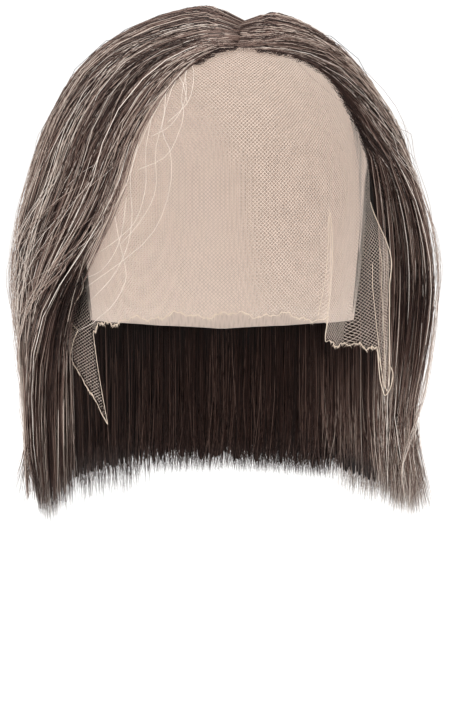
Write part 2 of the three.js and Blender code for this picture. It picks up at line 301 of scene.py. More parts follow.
def hair_top(x, y):
    """The height of the top of the hair over a place, found by halving."""
    reach = np.hypot(x / HAIR_HALF_WIDTH, y / np.where(y < 0, HAIR_FRONT, HAIR_BACK))
    low = np.full_like(x, HAIR_WIDEST)
    high = low + HAIR_RISE
    for _ in range(HALVINGS):
        middle = (low + high) / 2
        above = hair_width(middle, x) > reach
        low = np.where(above, middle, low)
        high = np.where(above, high, middle)
    return low


def bed_top(x, y):
    share = np.hypot(x / (HEAD_HALF_WIDTH + HAIR_BED), y / (HEAD_HALF_LENGTH + HAIR_BED)).clip(0, 1)
    rise = (1 - share**HEAD_SQUARENESS) ** (1 / HEAD_SQUARENESS)
    return -CROWN_RISE + (CROWN_RISE + HAIR_BED) * rise


def head_normal(points, offset):
    """The way out of the head form at points on it."""
    size = np.array([HEAD_HALF_WIDTH, HEAD_HALF_LENGTH, CROWN_RISE]) + offset
    scaled = (points + (0, 0, CROWN_RISE)) / size
    share = np.hypot(scaled[..., 0], scaled[..., 1])[..., None]
    level = scaled[..., 2:].clip(0)
    steep = np.concatenate(
        [scaled[..., :2] * share ** (HEAD_SQUARENESS - 2), level ** (HEAD_SQUARENESS - 1)], axis=-1
    )
    return unit(steep / size)


class Combed:
    """The bed and the top of the hair on one side, on a grid of comb lines and places along them.

    Along a line, 0 is the parting, 1 the head's widest level and 2 the hem. Across, 0 is the front edge of
    a side, 1 the end of the parting and 2 the edge of the back hair. On the back, it runs from 0 to 2.
    """

    ACROSS = 81
    ALONG = 61

    def __init__(self, side):
        self.side = side
        edge = EDGES[side]
        across = np.linspace(0, 2, self.ACROSS)
        rows = np.linspace(0, 2, self.ALONG)
        self.bed = np.zeros((self.ACROSS, self.ALONG, 3))
        self.top = np.zeros_like(self.bed)
        for i, place in enumerate(across):
            self.bed[i], self.top[i] = self.line(place, rows, edge)
        if self.side:
            free = (smooth(rows, *RELAXED_FROM) * (1 - smooth(rows, *RELAXED_TO)))[1:-1, None]
            self.bed, self.top = (softened(grid, free, RELAXINGS) for grid in (self.bed, self.top))

    def line(self, place, rows, edge):
        """The bed and the top along one comb line."""
        share = min(place, 1)
        fanned = max(place - 1, 0)
        if self.side:
            turn = math.radians(lerp(SIDE_FAN * share, BACK_FAN, fanned))
            away = np.array([self.side * math.cos(turn), math.sin(turn)])
            root_x = lerp(PARTING_FRONT_X, PARTING_END[0], share) + self.side * PARTING_GAP
            inside = smooth(share, 0, EDGE_SOFT)
            full_after = PARTING_FULL_AT
        else:
            turn = math.radians(lerp(BACK_FAN, 180 - BACK_FAN, place / 2))
            away = np.array([math.cos(turn), math.sin(turn)])
            root_x = PARTING_END[0]
            share, inside = 1, 1
            full_after = lerp(PARTING_FULL_AT, GROOVE_FULL_AT, math.exp(-(((place - 1) / GROOVE_WIDTH) ** 2)))

        def root_at(height):
            front = np.full_like(height, PARTING_END[1])
            if self.side:
                gentle = np.mean([between(edge, "y", height + step) for step in SWEEP_STEPS], axis=0)
                front = lerp(between(edge, "y", height), gentle, inside)
            return np.stack([np.full_like(height, root_x), lerp(front, PARTING_END[1], share)], axis=-1)

        def full_at(height):
            return lerp(between(edge, "full", height), 1, inside) if self.side else np.ones_like(height)

        def reach_from(root, size, spread=1.0):
            return reach_to(root, away, *(length * spread for length in size))

        def ahead(root, reach):
            return root + away * reach[:, None]

        upper = np.clip(rows, 0, 1)
        rise = np.sin(upper * math.pi / 2)
        root = root_at(profile_height(upper))
        below = ahead(root, reach_from(root, BED_SIZE) * rise)
        low = np.column_stack([below, bed_top(*below.T)])
        full_reach = reach_from(root, HAIR_SIZE)
        over = ahead(root, full_reach * rise)
        levelled = smooth(upper, LEVEL_FROM, 1)
        height = lerp(hair_top(*over.T), low[:, 2], levelled)
        level_reach = reach_from(root, HAIR_SIZE, hair_width(height, over[:, 0]))
        along = np.where(levelled > 0, level_reach, full_reach * rise)
        full = lerp(PARTING_LEANEST, full_at(low[:, 2]), smooth(along, 0, full_after))
        high = lerp(low, np.column_stack([ahead(root, along), height]), full[:, None])

        falling = rows > 1
        height = lerp(-CROWN_RISE, HEM, np.clip(rows - 1, 0, 1))
        root = root_at(height)
        bed_reach = reach_from(root, BED_SIZE)
        reach = reach_from(root, HAIR_SIZE, hair_width(height, np.full_like(height, away[0])))
        for points, out in ((low, bed_reach), (high, lerp(bed_reach, reach, full_at(height)))):
            points[falling] = np.column_stack([ahead(root, out), height])[falling]
        if self.side < 0:
            low = lerp(low, high, (TAB_ROOM * smooth(rows, *TAB_ROOM_FROM) * (1 - inside))[:, None])
        out = head_normal(low, HAIR_BED)
        thick = np.sum((high - low) * out, axis=-1, keepdims=True)
        return low, lerp(low + out * THIN_LAYER, high, smooth(thick, 0.5 * THIN_LAYER, 3 * THIN_LAYER))

    def sample(self, across, along, depth):
        """Points at places across and along the comb, from 0 at the bed to 1 at the top, and the way out."""
        i = np.clip(across / 2 * (self.ACROSS - 1), 0, self.ACROSS - 1.001)
        j = np.clip(along / 2 * (self.ALONG - 1), 0, self.ALONG - 1.001)
        i0, j0 = i.astype(int), j.astype(int)
        a, b = (i - i0)[..., None], (j - j0)[..., None]

        def blend(grid):
            near = lerp(grid[i0, j0], grid[i0, j0 + 1], b)
            far = lerp(grid[i0 + 1, j0], grid[i0 + 1, j0 + 1], b)
            return lerp(near, far, a)

        bed, top = blend(self.bed), blend(self.top)
        point = lerp(bed, top, np.asarray(depth)[..., None])
        return point, unit(top - bed)


def linear(code):
    """A linear colour from an sRGB hex code."""
    parts = [int(code[i : i + 2], 16) / 255 for i in (0, 2, 4)]
    return [p / 12.92 if p <= 0.04045 else ((p + 0.055) / 1.055) ** 2.4 for p in parts]


def length_setting(name, description, default, least):
    """A length that a user may change, in metres, from millimetres."""
    return bpy.props.FloatProperty(
        name=name, description=description, default=default * MM, min=least * MM, unit="LENGTH", precision=5
    )


def count_setting(name, description, default):
    """A number of strands that a user may change."""
    return bpy.props.IntProperty(name=name, description=description, default=default, min=1)


def colour_setting(name, description, code):
    """A colour that a user may change, from an sRGB hex code."""
    return bpy.props.FloatVectorProperty(
        name=name, description=description, default=linear(code), subtype="COLOR"
    )


class WigSizes(bpy.types.PropertyGroup):
    """Sizes and amounts of the wig's net, thread and hair"""

    # A real lace net and real hairs are finer. They are drawn as coarse as they need to be to show.
    lace_pitch: length_setting("Lace pitch", "Side of one diamond of the lace net", 1.42, 0.8)
    lace_thread: length_setting("Lace thread", "Width of the thread between two holes of the lace", 0.29, 0.1)
    hair_radius: length_setting("Hair radius", "Half the thickness of a drawn strand of hair", 0.175, 0.05)
    left_strands: count_setting("Left strands", "Strands combed from the parting to the left", 1950)
    right_strands: count_setting("Right strands", "Strands combed from the parting to the right", 1500)
    back_strands: count_setting("Back strands", "Strands combed from the crown over the back", 1300)
    left_edge_strands: count_setting(
        "Left edge strands", "Strands along the front edge of the left side", 480
    )
    right_edge_strands: count_setting(
        "Right edge strands", "Strands that leave the hairline of the right side", 1000
    )


class WigColours(bpy.types.PropertyGroup):
    """Colours of the wig's hair, lace and cap"""

    hair_dark: colour_setting("Dark hair", "The darkest strands", "170d0a")
    hair_brown: colour_setting("Brown hair", "Most of the strands", "3c2822")
    hair_taupe: colour_setting("Taupe hair", "Strands that are going grey", "846c62")
    hair_grey: colour_setting("Grey hair", "Grey strands", "c6b6aa")
    hair_white: colour_setting("White hair", "The lightest strands", "f2e9e0")
    lace: colour_setting("Lace", "Thread of the lace net", "dcc9ba")
    lace_edge: colour_setting("Lace edge", "Rolled edges and folds of the lace", "dccab7")
    cap: colour_setting("Cap", "Stretch net of the cap", "d6c4b8")
    floor: colour_setting("Floor", "The pale floor", "fbfaf9")


def node(tree, kind, settings=None, links=None, stops=(), **values):
    """Adds a node with its settings, a ramp's stops, the values of its inputs by name, and links to them."""
    made = tree.nodes.new(kind)
    for name, value in (settings or {}).items():
        setattr(made, name, value)
    for name, value in values.items():
        made.inputs[name.replace("_", " ")].default_value = value
    for name, source in (links or {}).items():
        tree.links.new(source, made.inputs[name])
    for k, (place, tint) in enumerate(stops):
        elements = made.color_ramp.elements
        element = elements[k] if k < len(elements) else elements.new(place)
        element.position = place
        element.color = (*tint, 1)
    return made


def shaded(tint, factor):
    """A colour made darker or lighter."""
    return [min(part * factor, 1) for part in tint]


def material_of(maker, colours):
    """The material that a maker is named for, made once. The maker adds its nodes and gives its shader."""
    name = maker.__name__
    if name not in bpy.data.materials:
        material = bpy.data.materials.new(name)
        material.use_nodes = True
        tree = material.node_tree
        tree.nodes.clear()
        shader = maker(tree, colours)
        node(tree, "ShaderNodeOutputMaterial", links={"Surface": shader.outputs["BSDF"]})
    return bpy.data.materials[name]


# The UV map of a hair mass covers this many millimetres across and along it. A streak of fibre is this wide,
# which is several hairs so that it shows, and this long.
MASS_MAP = (252.0, 350.0)
STREAK = (0.6, 70.0)
STREAK_SCALE = (MASS_MAP[0] / STREAK[0], MASS_MAP[1] / STREAK[1], 1)


def straight_hair_fibre(tree, colours):
    """Hair that is dyed brown and left grey in part: each strand has one tone and a satin shine. The tones in
    the UV map also carry painted shade, laid in where the strands are made.
    """
    uv = node(tree, "ShaderNodeUVMap", {"uv_map": "OFBake"}).outputs["UV"]
    parts = node(tree, "ShaderNodeSeparateXYZ", links={"Vector": uv})
    tone = node(
        tree, "ShaderNodeValToRGB", links={"Fac": parts.outputs["X"]},
        stops=(
            (0.0, colours.hair_dark), (0.38, colours.hair_brown), (0.66, colours.hair_taupe),
            (0.85, colours.hair_grey), (1.0, colours.hair_white),
        ),
    )
    streaks = node(tree, "ShaderNodeMapping", links={"Vector": uv}, Scale=STREAK_SCALE)
    grain = node(
        tree, "ShaderNodeTexNoise", links={"Vector": streaks.outputs["Vector"]}, Detail=2.0, Scale=1.0
    )
    shade = node(
        tree, "ShaderNodeValToRGB", links={"Fac": grain.outputs["Fac"]},
        stops=((0.3, (0.72, 0.72, 0.72)), (0.7, (1.25, 1.22, 1.2))),
    )
    tinted = node(
        tree, "ShaderNodeMix", {"data_type": "RGBA", "blend_type": "MULTIPLY"},
        links={6: tone.outputs["Color"], 7: shade.outputs["Color"]}, Factor=1.0,
    )
    return node(
        tree, "ShaderNodeBsdfPrincipled", links={"Base Color": tinted.outputs[2]},
        Roughness=0.45, IOR=1.55, Specular_IOR_Level=0.18,
    )


def packed_hair_painted_shade(tree, colours):
    """The hair inside the mass, packed strand on strand: dark, and painted darker still as the shade deep
    between the strands, with fine streaks along the comb lines.
    """
    uv = node(tree, "ShaderNodeUVMap", {"uv_map": "OFBake"}).outputs["UV"]
    streaks = node(tree, "ShaderNodeMapping", links={"Vector": uv}, Scale=STREAK_SCALE)
    grain = node(
        tree, "ShaderNodeTexNoise", links={"Vector": streaks.outputs["Vector"]}, Detail=3.0, Scale=1.0
    )
    # Painted shade: the darkest stop is the darkest hair at four tenths, for the shade deep between the
    # strands.
    tone = node(
        tree, "ShaderNodeValToRGB", links={"Fac": grain.outputs["Fac"]},
        stops=((0.4, shaded(colours.hair_dark, 0.4)), (0.6, colours.hair_dark), (0.8, colours.hair_brown)),
    )
    bump = node(
        tree, "ShaderNodeBump", links={"Height": grain.outputs["Fac"]}, Strength=0.5, Distance=0.6 * MM
    )
    return node(
        tree, "ShaderNodeBsdfPrincipled",
        links={"Base Color": tone.outputs["Color"], "Normal": bump.outputs["Normal"]},
        Roughness=0.6, IOR=1.55, Specular_IOR_Level=0.15,
    )


# The size of the uneven places in the lace's tone
LACE_MOTTLE = 6 * MM


def twisted_lace_thread(tree, colours):
    """Fine sheer thread of the lace net: matt, pale beige, uneven in tone, with what is behind it showing."""
    place = node(tree, "ShaderNodeTexCoord")
    grain = node(
        tree, "ShaderNodeTexNoise", links={"Vector": place.outputs["Object"]},
        Scale=1 / LACE_MOTTLE, Detail=3.0,
    )
    tone = node(
        tree, "ShaderNodeValToRGB", links={"Fac": grain.outputs["Fac"]},
        stops=((0.3, shaded(colours.lace, 0.86)), (0.7, shaded(colours.lace, 1.08))),
    )
    return node(
        tree, "ShaderNodeBsdfPrincipled", links={"Base Color": tone.outputs["Color"]},
        Roughness=0.75, IOR=1.5, Sheen_Weight=0.25, Sheen_Roughness=0.4, Alpha=0.64,
    )


def rolled_lace_edge(tree, colours):
    """Edges and folds of the lace, where its threads lie packed: matt cream that hides what is behind."""
    return node(
        tree, "ShaderNodeBsdfPrincipled", Base_Color=(*colours.lace_edge, 1), Roughness=0.75, IOR=1.5
    )


# The cap's UV map covers this many millimetres, and its rows of loops, coarser than real ones so that they
# show, lie this far apart. A wave texture of scale 1 has one wave in this much of its map.
CAP_MAP = 240.0
CAP_LOOPS = 1.885
TEXTURE_WAVE = math.tau / 20


def knitted_stretch_net(tree, colours):
    """Knitted stretch net: matt beige, with rows of fine loops that show as a small diamond weave, painted a
    tenth darker in its low places as shade between the loops.
    """
    uv = node(tree, "ShaderNodeUVMap", {"uv_map": "OFBake"}).outputs["UV"]
    heights = {}
    for k, angle in enumerate((45, -45)):
        turned = node(
            tree, "ShaderNodeMapping", links={"Vector": uv}, Rotation=(0, 0, math.radians(angle))
        )
        wave = node(
            tree, "ShaderNodeTexWave", {"wave_profile": "SIN"}, links={"Vector": turned.outputs["Vector"]},
            Scale=TEXTURE_WAVE * CAP_MAP / CAP_LOOPS, Distortion=0.4, Detail=1.0,
        )
        heights[k] = wave.outputs["Fac"]
    weave = node(tree, "ShaderNodeMath", {"operation": "MAXIMUM"}, links=heights).outputs["Value"]
    # Painted shade: the low places of the weave are a tenth darker, as shade between the loops.
    tone = node(
        tree, "ShaderNodeValToRGB", links={"Fac": weave},
        stops=((0.35, shaded(colours.cap, 0.9)), (0.8, colours.cap)),
    )
    bump = node(tree, "ShaderNodeBump", links={"Height": weave}, Strength=0.4, Distance=0.4 * MM)
    return node(
        tree, "ShaderNodeBsdfPrincipled",
        links={"Base Color": tone.outputs["Color"], "Normal": bump.outputs["Normal"]},
        Roughness=0.85, IOR=1.5, Sheen_Weight=0.2, Sheen_Roughness=0.5,
    )


def seamless_paper(tree, colours):
    """Paper sweep: matt and nearly white."""
    return node(tree, "ShaderNodeBsdfPrincipled", Base_Color=(*colours.floor, 1), Roughness=0.9)


def add_piece(context, mesh, slot, material, *nodes):
    """Links a finished mesh as a piece that rides on the wig and stands for some of its nodes."""
    piece = bpy.data.objects.new(mesh.name, mesh)
    context.scene.collection.objects.link(piece)
    mesh.materials.append(material)
    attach(piece, BODY)
    if nodes:
        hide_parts(*nodes)
    return piece


def mesh_from(bm, name):
    mesh = bpy.data.meshes.new(name)
    bm.to_mesh(mesh)
    bm.free()
    mesh.shade_smooth()
    return mesh


# How far the tone differs round one strand
TONE_WIDTH = 0.004


def across_strands(paths, out):
    """The way across strands, level with the surface that they lie on."""
    return unit(np.cross(unit(np.gradient(paths, axis=1)), out))


def tube_mesh(name, paths, radii, out, tones):
    """Joins three-sided strands in one mesh, each narrowing to a point.

    The UV map holds the tone at each row of a strand, and the way along it.
    """
    count, rows, _ = paths.shape
    across = across_strands(paths, out)
    up = np.cross(across, unit(np.gradient(paths, axis=1)))
    corners = np.arange(3) * 2 * math.pi / 3 + math.pi / 2
    spread = np.cos(corners)[:, None] * across[:, :-1, None] + np.sin(corners)[:, None] * up[:, :-1, None]
    rings = paths[:, :-1, None] + spread * radii[:, :-1, None, None]
    points = np.concatenate([rings.reshape(count, -1, 3), paths[:, -1:]], axis=1) * MM
    per_strand = points.shape[1]

    row, corner = np.meshgrid(np.arange(rows - 2), np.arange(3), indexing="ij")
    following = (corner + 1) % 3
    sides = row[..., None] * 3 + np.stack([corner, following, 3 + following, 3 + corner], axis=-1)
    last = (rows - 2) * 3
    tips = [[last + k, last + (k + 1) % 3, per_strand - 1] for k in range(3)]
    loops = np.concatenate([sides.reshape(-1), np.ravel(tips), [2, 1, 0]])
    sizes = np.array([4] * (sides.size // 4) + [3] * 4)

    wide = np.stack([corner, corner + 1, corner + 1, corner], axis=-1).reshape(-1)
    long = np.stack([row, row, row + 1, row + 1], axis=-1).reshape(-1)
    wide = np.concatenate([wide, np.ravel([[k, k + 1, k + 0.5] for k in range(3)]), [2, 1, 0]])
    long = np.concatenate([long, np.ravel([[rows - 2, rows - 2, rows - 1]] * 3), [0, 0.5, 0]])

    every = np.arange(count)[:, None]
    mesh = bpy.data.meshes.new(name)
    mesh.vertices.add(count * per_strand)
    mesh.vertices.foreach_set("co", points.astype(np.float32).ravel())
    mesh.loops.add(count * len(loops))
    mesh.loops.foreach_set("vertex_index", (loops + every * per_strand).astype(np.int32).ravel())
    mesh.polygons.add(count * len(sizes))
    starts = np.concatenate([[0], np.cumsum(sizes)[:-1]])
    mesh.polygons.foreach_set("loop_start", (starts + every * len(loops)).astype(np.int32).ravel())
    layer = mesh.uv_layers.new(name="OFBake")
    uv = np.zeros((count, len(loops), 2), np.float32)
    shown = tones[:, long.round().astype(int)]
    uv[..., 0] = np.clip(shown, 0, 1 - TONE_WIDTH) + wide * TONE_WIDTH / 3
    uv[..., 1] = long / (rows - 1)
    layer.uv.foreach_set("vector", uv.ravel())
    mesh.update(calc_edges=True)
    mesh.shade_smooth()
    return mesh


def wander(rng, along, size, waves):
    """Slow sideways curves, one for each strand, that start at nothing at the root."""
    count = len(along)
    total = np.zeros_like(along)
    for wave in waves:
        turn = rng.uniform(0, 2 * math.pi, (count, 1))
        height = rng.normal(0, 1, (count, 1)) * size / math.sqrt(len(waves))
        total += height * np.sin(along * wave * rng.uniform(0.7, 1.3, (count, 1)) * math.pi + turn)
    return total * smooth(along - along[:, :1], 0, 0.5)


# Tones from 0, dark, to 1, white: those of most strands, then the shares that are taupe, grey and white
DARK_TONES = (0.0, 0.46)
GREYING = ((0.26, 0.44, 0.7), (0.12, 0.7, 0.88), (0.05, 0.86, 0.98))


def tones_for(rng, count):
    """A tone for each strand."""
    tone = rng.uniform(*DARK_TONES, count)
    for share, low, high in GREYING:
        tone = np.where(rng.random(count) < share, rng.uniform(low, high, count), tone)
    return tone


# Places along a strand, closer together over the parting's hump and where the left side turns down. Loose
# hairs have even ones, and short hairs few.
STRAND_ROWS = np.array(
    [0, 0.05, 0.12, 0.2, 0.3, 0.42, 0.55, 0.69, 0.84, 0.99, 1.11, 1.21, 1.31, 1.44, 1.64, 1.84, 2]
) / 2
EVEN_ROWS = np.linspace(0, 1, 17)
SHORT_ROWS = np.linspace(0, 1, 6)


def rows_along(rng, start, end, rows):
    """Places along each strand. No two strands have their rows at quite the same places."""
    uneven = rows ** rng.uniform(0.9, 1.1, (len(start), 1))
    return start[:, None] + (end - start)[:, None] * uneven


class Locks:
    """The locks of one side, in bands from the bed out, whose strands share a wave, a tone and a length."""

    BANDS = 4
    # The places that waves are worked out at, and how far locks differ from one another
    ROWS = 41
    TONE_SPREAD = 0.02
    LENGTH_SPREAD = 0.02
    SPLAY_SPREAD = 2.5
    WAVE = 0.4
    LIFT = 0.015
    # How far strands lie from the middle of their lock, in locks and in bands
    MIXED_ACROSS = 0.45
    MIXED_DEEP = 0.3

    def __init__(self, rng, count):
        self.count = count
        total = count * self.BANDS
        at = np.tile(np.linspace(0, 2, self.ROWS), (total, 1))
        self.across = (np.arange(total) // self.BANDS + 0.5) / count * 2
        self.depth = (np.arange(total) % self.BANDS + 0.5) / self.BANDS
        self.leans = rng.normal(0, self.TONE_SPREAD, total)
        self.lengths = rng.normal(0, self.LENGTH_SPREAD, total)
        self.flares = np.abs(rng.normal(0, 1, total))
        self.splays = rng.normal(0, self.SPLAY_SPREAD, total)
        self.waves = wander(rng, at, self.WAVE, (0.4, 0.8))
        self.lifts = wander(rng, at, self.LIFT, (0.5, 0.9))

    def of(self, rng, across, depth):
        """The lock that each strand belongs to."""
        place = across / 2 * self.count + rng.normal(0, self.MIXED_ACROSS, len(across))
        band = depth * self.BANDS + rng.normal(0, self.MIXED_DEEP, len(across))
        place = np.clip(place.astype(int), 0, self.count - 1)
        return place * self.BANDS + np.clip(band.astype(int), 0, self.BANDS - 1)

    def along(self, values, lock, along):
        """A lock's wave or lift at places along its strands."""
        last = values.shape[1] - 1
        place = np.clip(along / 2 * last, 0, last - 0.001)
        row = place.astype(int)
        return lerp(values[lock[:, None], row], values[lock[:, None], row + 1], place - row)


# The share of a strand's stray that is in short waves
RIPPLE = 0.3
# How often the turn from the head into the fall is rounded, and where that sets in
SOFTENINGS = 3
SOFTENED_FROM = (0.9, 1.1)
# How far the tips of a lock stand apart sideways, and where that sets in
SPLAY = 5.0
SPLAYED_FROM = (1.6, 2.1)
# The share by which the strands of a lock draw together at the tips, and where that sets in
DRAWN = 0.3
DRAWN_FROM = (1.55, 2.0)
# How far strands drift across the comb and rise and sink in it, and the least and most of their depth
DRIFT = 0.03
BOB = 0.008
DEPTHS = (-0.015, 1.05)


def comb(rng, combed, locks, lock, across, along, depth, stray, spill):
    """Strand paths down comb lines, each with its lock's wave and its own drift.

    Spill moves strands from the edge of the hair out over the lace, in millimetres.
    """
    drawn = DRAWN * smooth(along, *DRAWN_FROM)
    place = across + rng.normal(0, DRIFT, (len(along), 1)) * (along - along[:, :1])
    place = lerp(place, locks.across[lock][:, None], drawn)
    level = depth + locks.along(locks.lifts, lock, along) + wander(rng, along, BOB, (0.6, 1.1))
    level = lerp(np.clip(level, *DEPTHS), locks.depth[lock][:, None], drawn)
    points, out = combed.sample(np.clip(place, 0, 2), along, level)
    points = softened(points, smooth(along[:, 1:-1, None], *SOFTENED_FROM), SOFTENINGS)
    ways = across_strands(points, out)
    side = locks.along(locks.waves, lock, along) + wander(rng, along, stray, (0.45, 0.9))
    side += wander(rng, along, RIPPLE * stray, (2.0, 3.4))
    side += rng.normal(locks.splays[lock], SPLAY)[:, None] * smooth(along, *SPLAYED_FROM) ** 2
    return points + ways * (side + combed.side * spill)[..., None], out


# Where a strand starts to thin, and how much of its thickness it loses
THINS_FROM = 0.88
THINNED = 0.6


def taper(along, radius):
    """Strand radii: full from the root on, and thin towards the tip."""
    share = (along - along[:, :1]) / (along[:, -1:] - along[:, :1])
    return radius[:, None] * (1 - THINNED * smooth(share, THINS_FROM, 1))


def rising(start, along, length):
    """0 at a root that lies away from the parting, 1 from a little way along on."""
    return smooth(along - start[:, None], 0, length)


def through(points, rows):
    """A smooth curve through some points, at places from 0 to 1."""
    points = np.asarray(points, float)
    slopes = np.gradient(points, axis=0)
    at = rows * (len(points) - 1)
    i = np.minimum(at.astype(int), len(points) - 2)
    t = (at - i)[:, None]
    near = points[i] * (1 + 2 * t) + slopes[i] * t
    far = points[i + 1] * (3 - 2 * t) - slopes[i + 1] * (1 - t)
    return near * (1 - t) ** 2 + far * t**2


class WIG_OT_sew_cap(bpy.types.Operator):
    """Sew the cap of stretch net that the hair is knotted to"""

    bl_idname = "wig.sew_cap"
    bl_label = "Sew Cap"

    TURNS = 96
    ROWS = 20
    SEAM_STEP = 0.5

    def turn_of(self, column):
        """The cap's turn in degrees for a column: half of them round the front, half round the back."""
        half = self.TURNS // 2
        front = lerp(-SEAM_END, SEAM_END, column / (half - 1))
        past_seam = SEAM_END + self.SEAM_STEP
        back = lerp(past_seam, 360 - past_seam, (column - half) / (half - 1))
        return front if column < half else back

    def bottom(self, turn):
        round_from_front = 360 - turn if turn > 180 else abs(turn)
        chart = SEAM if round_from_front <= SEAM_END else CAP_EDGE
        return profile_at(between(chart, "height", round_from_front))

    def execute(self, context):
        bm = bmesh.new()
        bmesh.ops.create_uvsphere(bm, u_segments=self.TURNS, v_segments=2 * self.ROWS, radius=1)
        low = [v for v in bm.verts if v.co.z < -1e-6]
        bmesh.ops.delete(bm, geom=low, context="VERTS")
        uv = bm.loops.layers.uv.new("OFBake")
        place = {}
        for vert in bm.verts:
            polar = math.atan2(math.hypot(vert.co.x, vert.co.y), vert.co.z) / (math.pi / 2)
            column = round(math.atan2(vert.co.x, -vert.co.y) / (2 * math.pi) * self.TURNS) % self.TURNS
            turn = self.turn_of((column + self.TURNS // 4) % self.TURNS)
            profile = float(self.bottom(turn)) * polar
            place[vert] = (turn, profile)
            vert.co = Vector(head_point(turn, profile, CAP_WALL)) * MM
        for face in bm.faces:
            for loop in face.loops:
                flat = head_point(*place[loop.vert])
                loop[uv].uv = (0.5 + flat[0] / CAP_MAP, 0.5 + flat[1] / CAP_MAP)
        bmesh.ops.recalc_face_normals(bm, faces=bm.faces)
        bmesh.ops.solidify(bm, geom=bm.faces[:], thickness=CAP_WALL * MM)
        material = material_of(knitted_stretch_net, context.scene.wig_colours)
        add_piece(context, mesh_from(bm, "wig_cap_net"), "cap_net", material, "wig_cap")
        return {"FINISHED"}


# The net of the loose tabs is drawn this many times wider, so that it shows as open as it hangs
TAB_STRETCH = 2.6


class LaceFlat:
    """Lays the flat lace over the head: a flat place is millimetres round and down from the crown."""

    PROFILES = np.linspace(0, 1.95, 400)
    TURNS = np.linspace(-110, 110, 441)
    # Lengths down the head are measured along this turn
    DOWN_AT = 30.0
    LEAST_WIDTH = 0.05
    SEAM_GAP = 0.4

    def __init__(self):
        self.down = self.summed(self.steps(head_point(self.DOWN_AT, self.PROFILES)))
        steps = self.steps(head_point(self.TURNS, 1.0))
        middles = (self.TURNS[1:] + self.TURNS[:-1]) / 2
        steps[(middles < -LEFT_TAB["turn"]) | (middles > RIGHT_TAB["turn"])] /= TAB_STRETCH
        round_head = self.summed(steps)
        self.round = round_head - np.interp(0, self.TURNS, round_head)

    def steps(self, points):
        return np.linalg.norm(np.diff(points, axis=0), axis=1)

    def summed(self, steps):
        return np.concatenate([[0], np.cumsum(steps)])

    def turn_and_profile(self, flat):
        profile = np.interp(flat[:, 1], self.down, self.PROFILES)
        round_head = flat[:, 0] / profile_width(profile).clip(self.LEAST_WIDTH)
        return np.interp(round_head, self.round, self.TURNS), profile

    def flat_place(self, turn, profile):
        round_head = np.interp(turn, self.TURNS, self.round) * profile_width(profile)
        return np.stack([round_head, np.interp(profile, self.PROFILES, self.down)], axis=-1)

    def inside(self, turn, profile):
        """True where the place lies between the seam and the cut edge."""
        top = profile_at(between(SEAM, "height", np.abs(turn))) + self.SEAM_GAP / UPPER_ARC
        bottom = profile_at(cut_height(turn))
        ends = (turn > LACE_CUT["turn"][0]) & (turn < LACE_CUT["turn"][-1])
        return ends & (profile > top) & (profile < bottom)


def net_mesh(name, half_side, pitch, thread, lay):
    """A net of diamonds: a turned grid laid by a function, with each cell inset and its middle taken out.

    Lay takes flat places in millimetres, and gives the places in space and which of them are kept.
    """
    bm = bmesh.new()
    cells = int(2 * half_side / pitch)
    bmesh.ops.create_grid(bm, x_segments=cells, y_segments=cells, size=half_side)
    bmesh.ops.rotate(bm, verts=bm.verts, matrix=Matrix.Rotation(math.radians(45), 3, "Z"))
    flat = np.array([v.co[:2] for v in bm.verts])
    laid, kept = lay(flat)
    uv = bm.loops.layers.uv.new("OFBake")
    outside = []
    for vert, place, keep in zip(bm.verts, laid, kept):
        vert.co = Vector(place) * MM
        if not keep:
            outside.append(vert)
    low, size = flat[kept].min(axis=0), np.ptp(flat[kept], axis=0)
    bm.verts.index_update()
    for face in bm.faces:
        for loop in face.loops:
            loop[uv].uv = (flat[loop.vert.index] - low) / size
    bmesh.ops.delete(bm, geom=outside, context="VERTS")
    holes = bm.faces[:]
    bmesh.ops.inset_individual(bm, faces=holes, thickness=thread * MM / 2, use_even_offset=True)
    bmesh.ops.delete(bm, geom=holes, context="FACES_ONLY")
    return mesh_from(bm, name)


# Folds and rolled edges of the lace: turn and height at points along each, and the radius of the roll
LACE_FOLDS = (
    (0.3, (-95.8, -100), (-95.8, -140), (-95.8, -180)),
    (0.3, (93.8, -96), (93.8, -150), (93.8, -198)),
    (0.16, (43.0, -100), (42.2, -125), (40.6, -153)),
    (0.14, (43.4, -96), (43.6, -125), (43.4, -156)),
    (0.22, (43.9, -98), (46.4, -130), (47.6, -165)),
    (0.16, (78.0, -128), (83.0, -160), (89.5, -197)),
    (0.16, (85.0, -120), (89.0, -160), (91.2, -198)),
    (0.3, (84, -175), (86, -190), (88.5, -198), (91, -201.5), (95, -198), (97, -191), (95, -186)),
    (0.24, (-95.8, -158), (-90, -161), (-83.5, -165)),
    (0.26, (-83.5, -165), (-89, -171), (-95.8, -181)),
)
# Places where the lace lies double, as turns and heights round them clockwise
DOUBLED_LACE = {
    "lace_corner_net": ((-95.8, -158), (-83.5, -165), (-95.8, -181)),
    "lace_pleat_net": ((43.5, -95), (46.5, -135), (47.6, -165), (40.6, -153)),
    "lace_tail_net": ((84, -120), (93.8, -100), (93.8, -198), (89, -197)),
}
# The thread along the cut edge: its ends, its runs, its radius, and by how much and how fast that varies
CUT_ENDS = (-95.5, 93.5)
CUT_RUNS = 6
CUT_RADIUS = (0.2, 0.08)
CUT_PACES = (0.9, 0.23)
EDGE_ROWS = 60
# Frayed ends: how many, between which turns, their lean in degrees, length, height of the root and radius
FRAYED_ENDS = 420
FRAYED_BETWEEN = (-94, 92)
FRAYED_LEAN = 0.8
FRAYED_LENGTH = (0.4, 1.8)
FRAYED_FROM = 0.6
FRAYED_RADIUS = 0.11
FRAYED_ROWS = 4


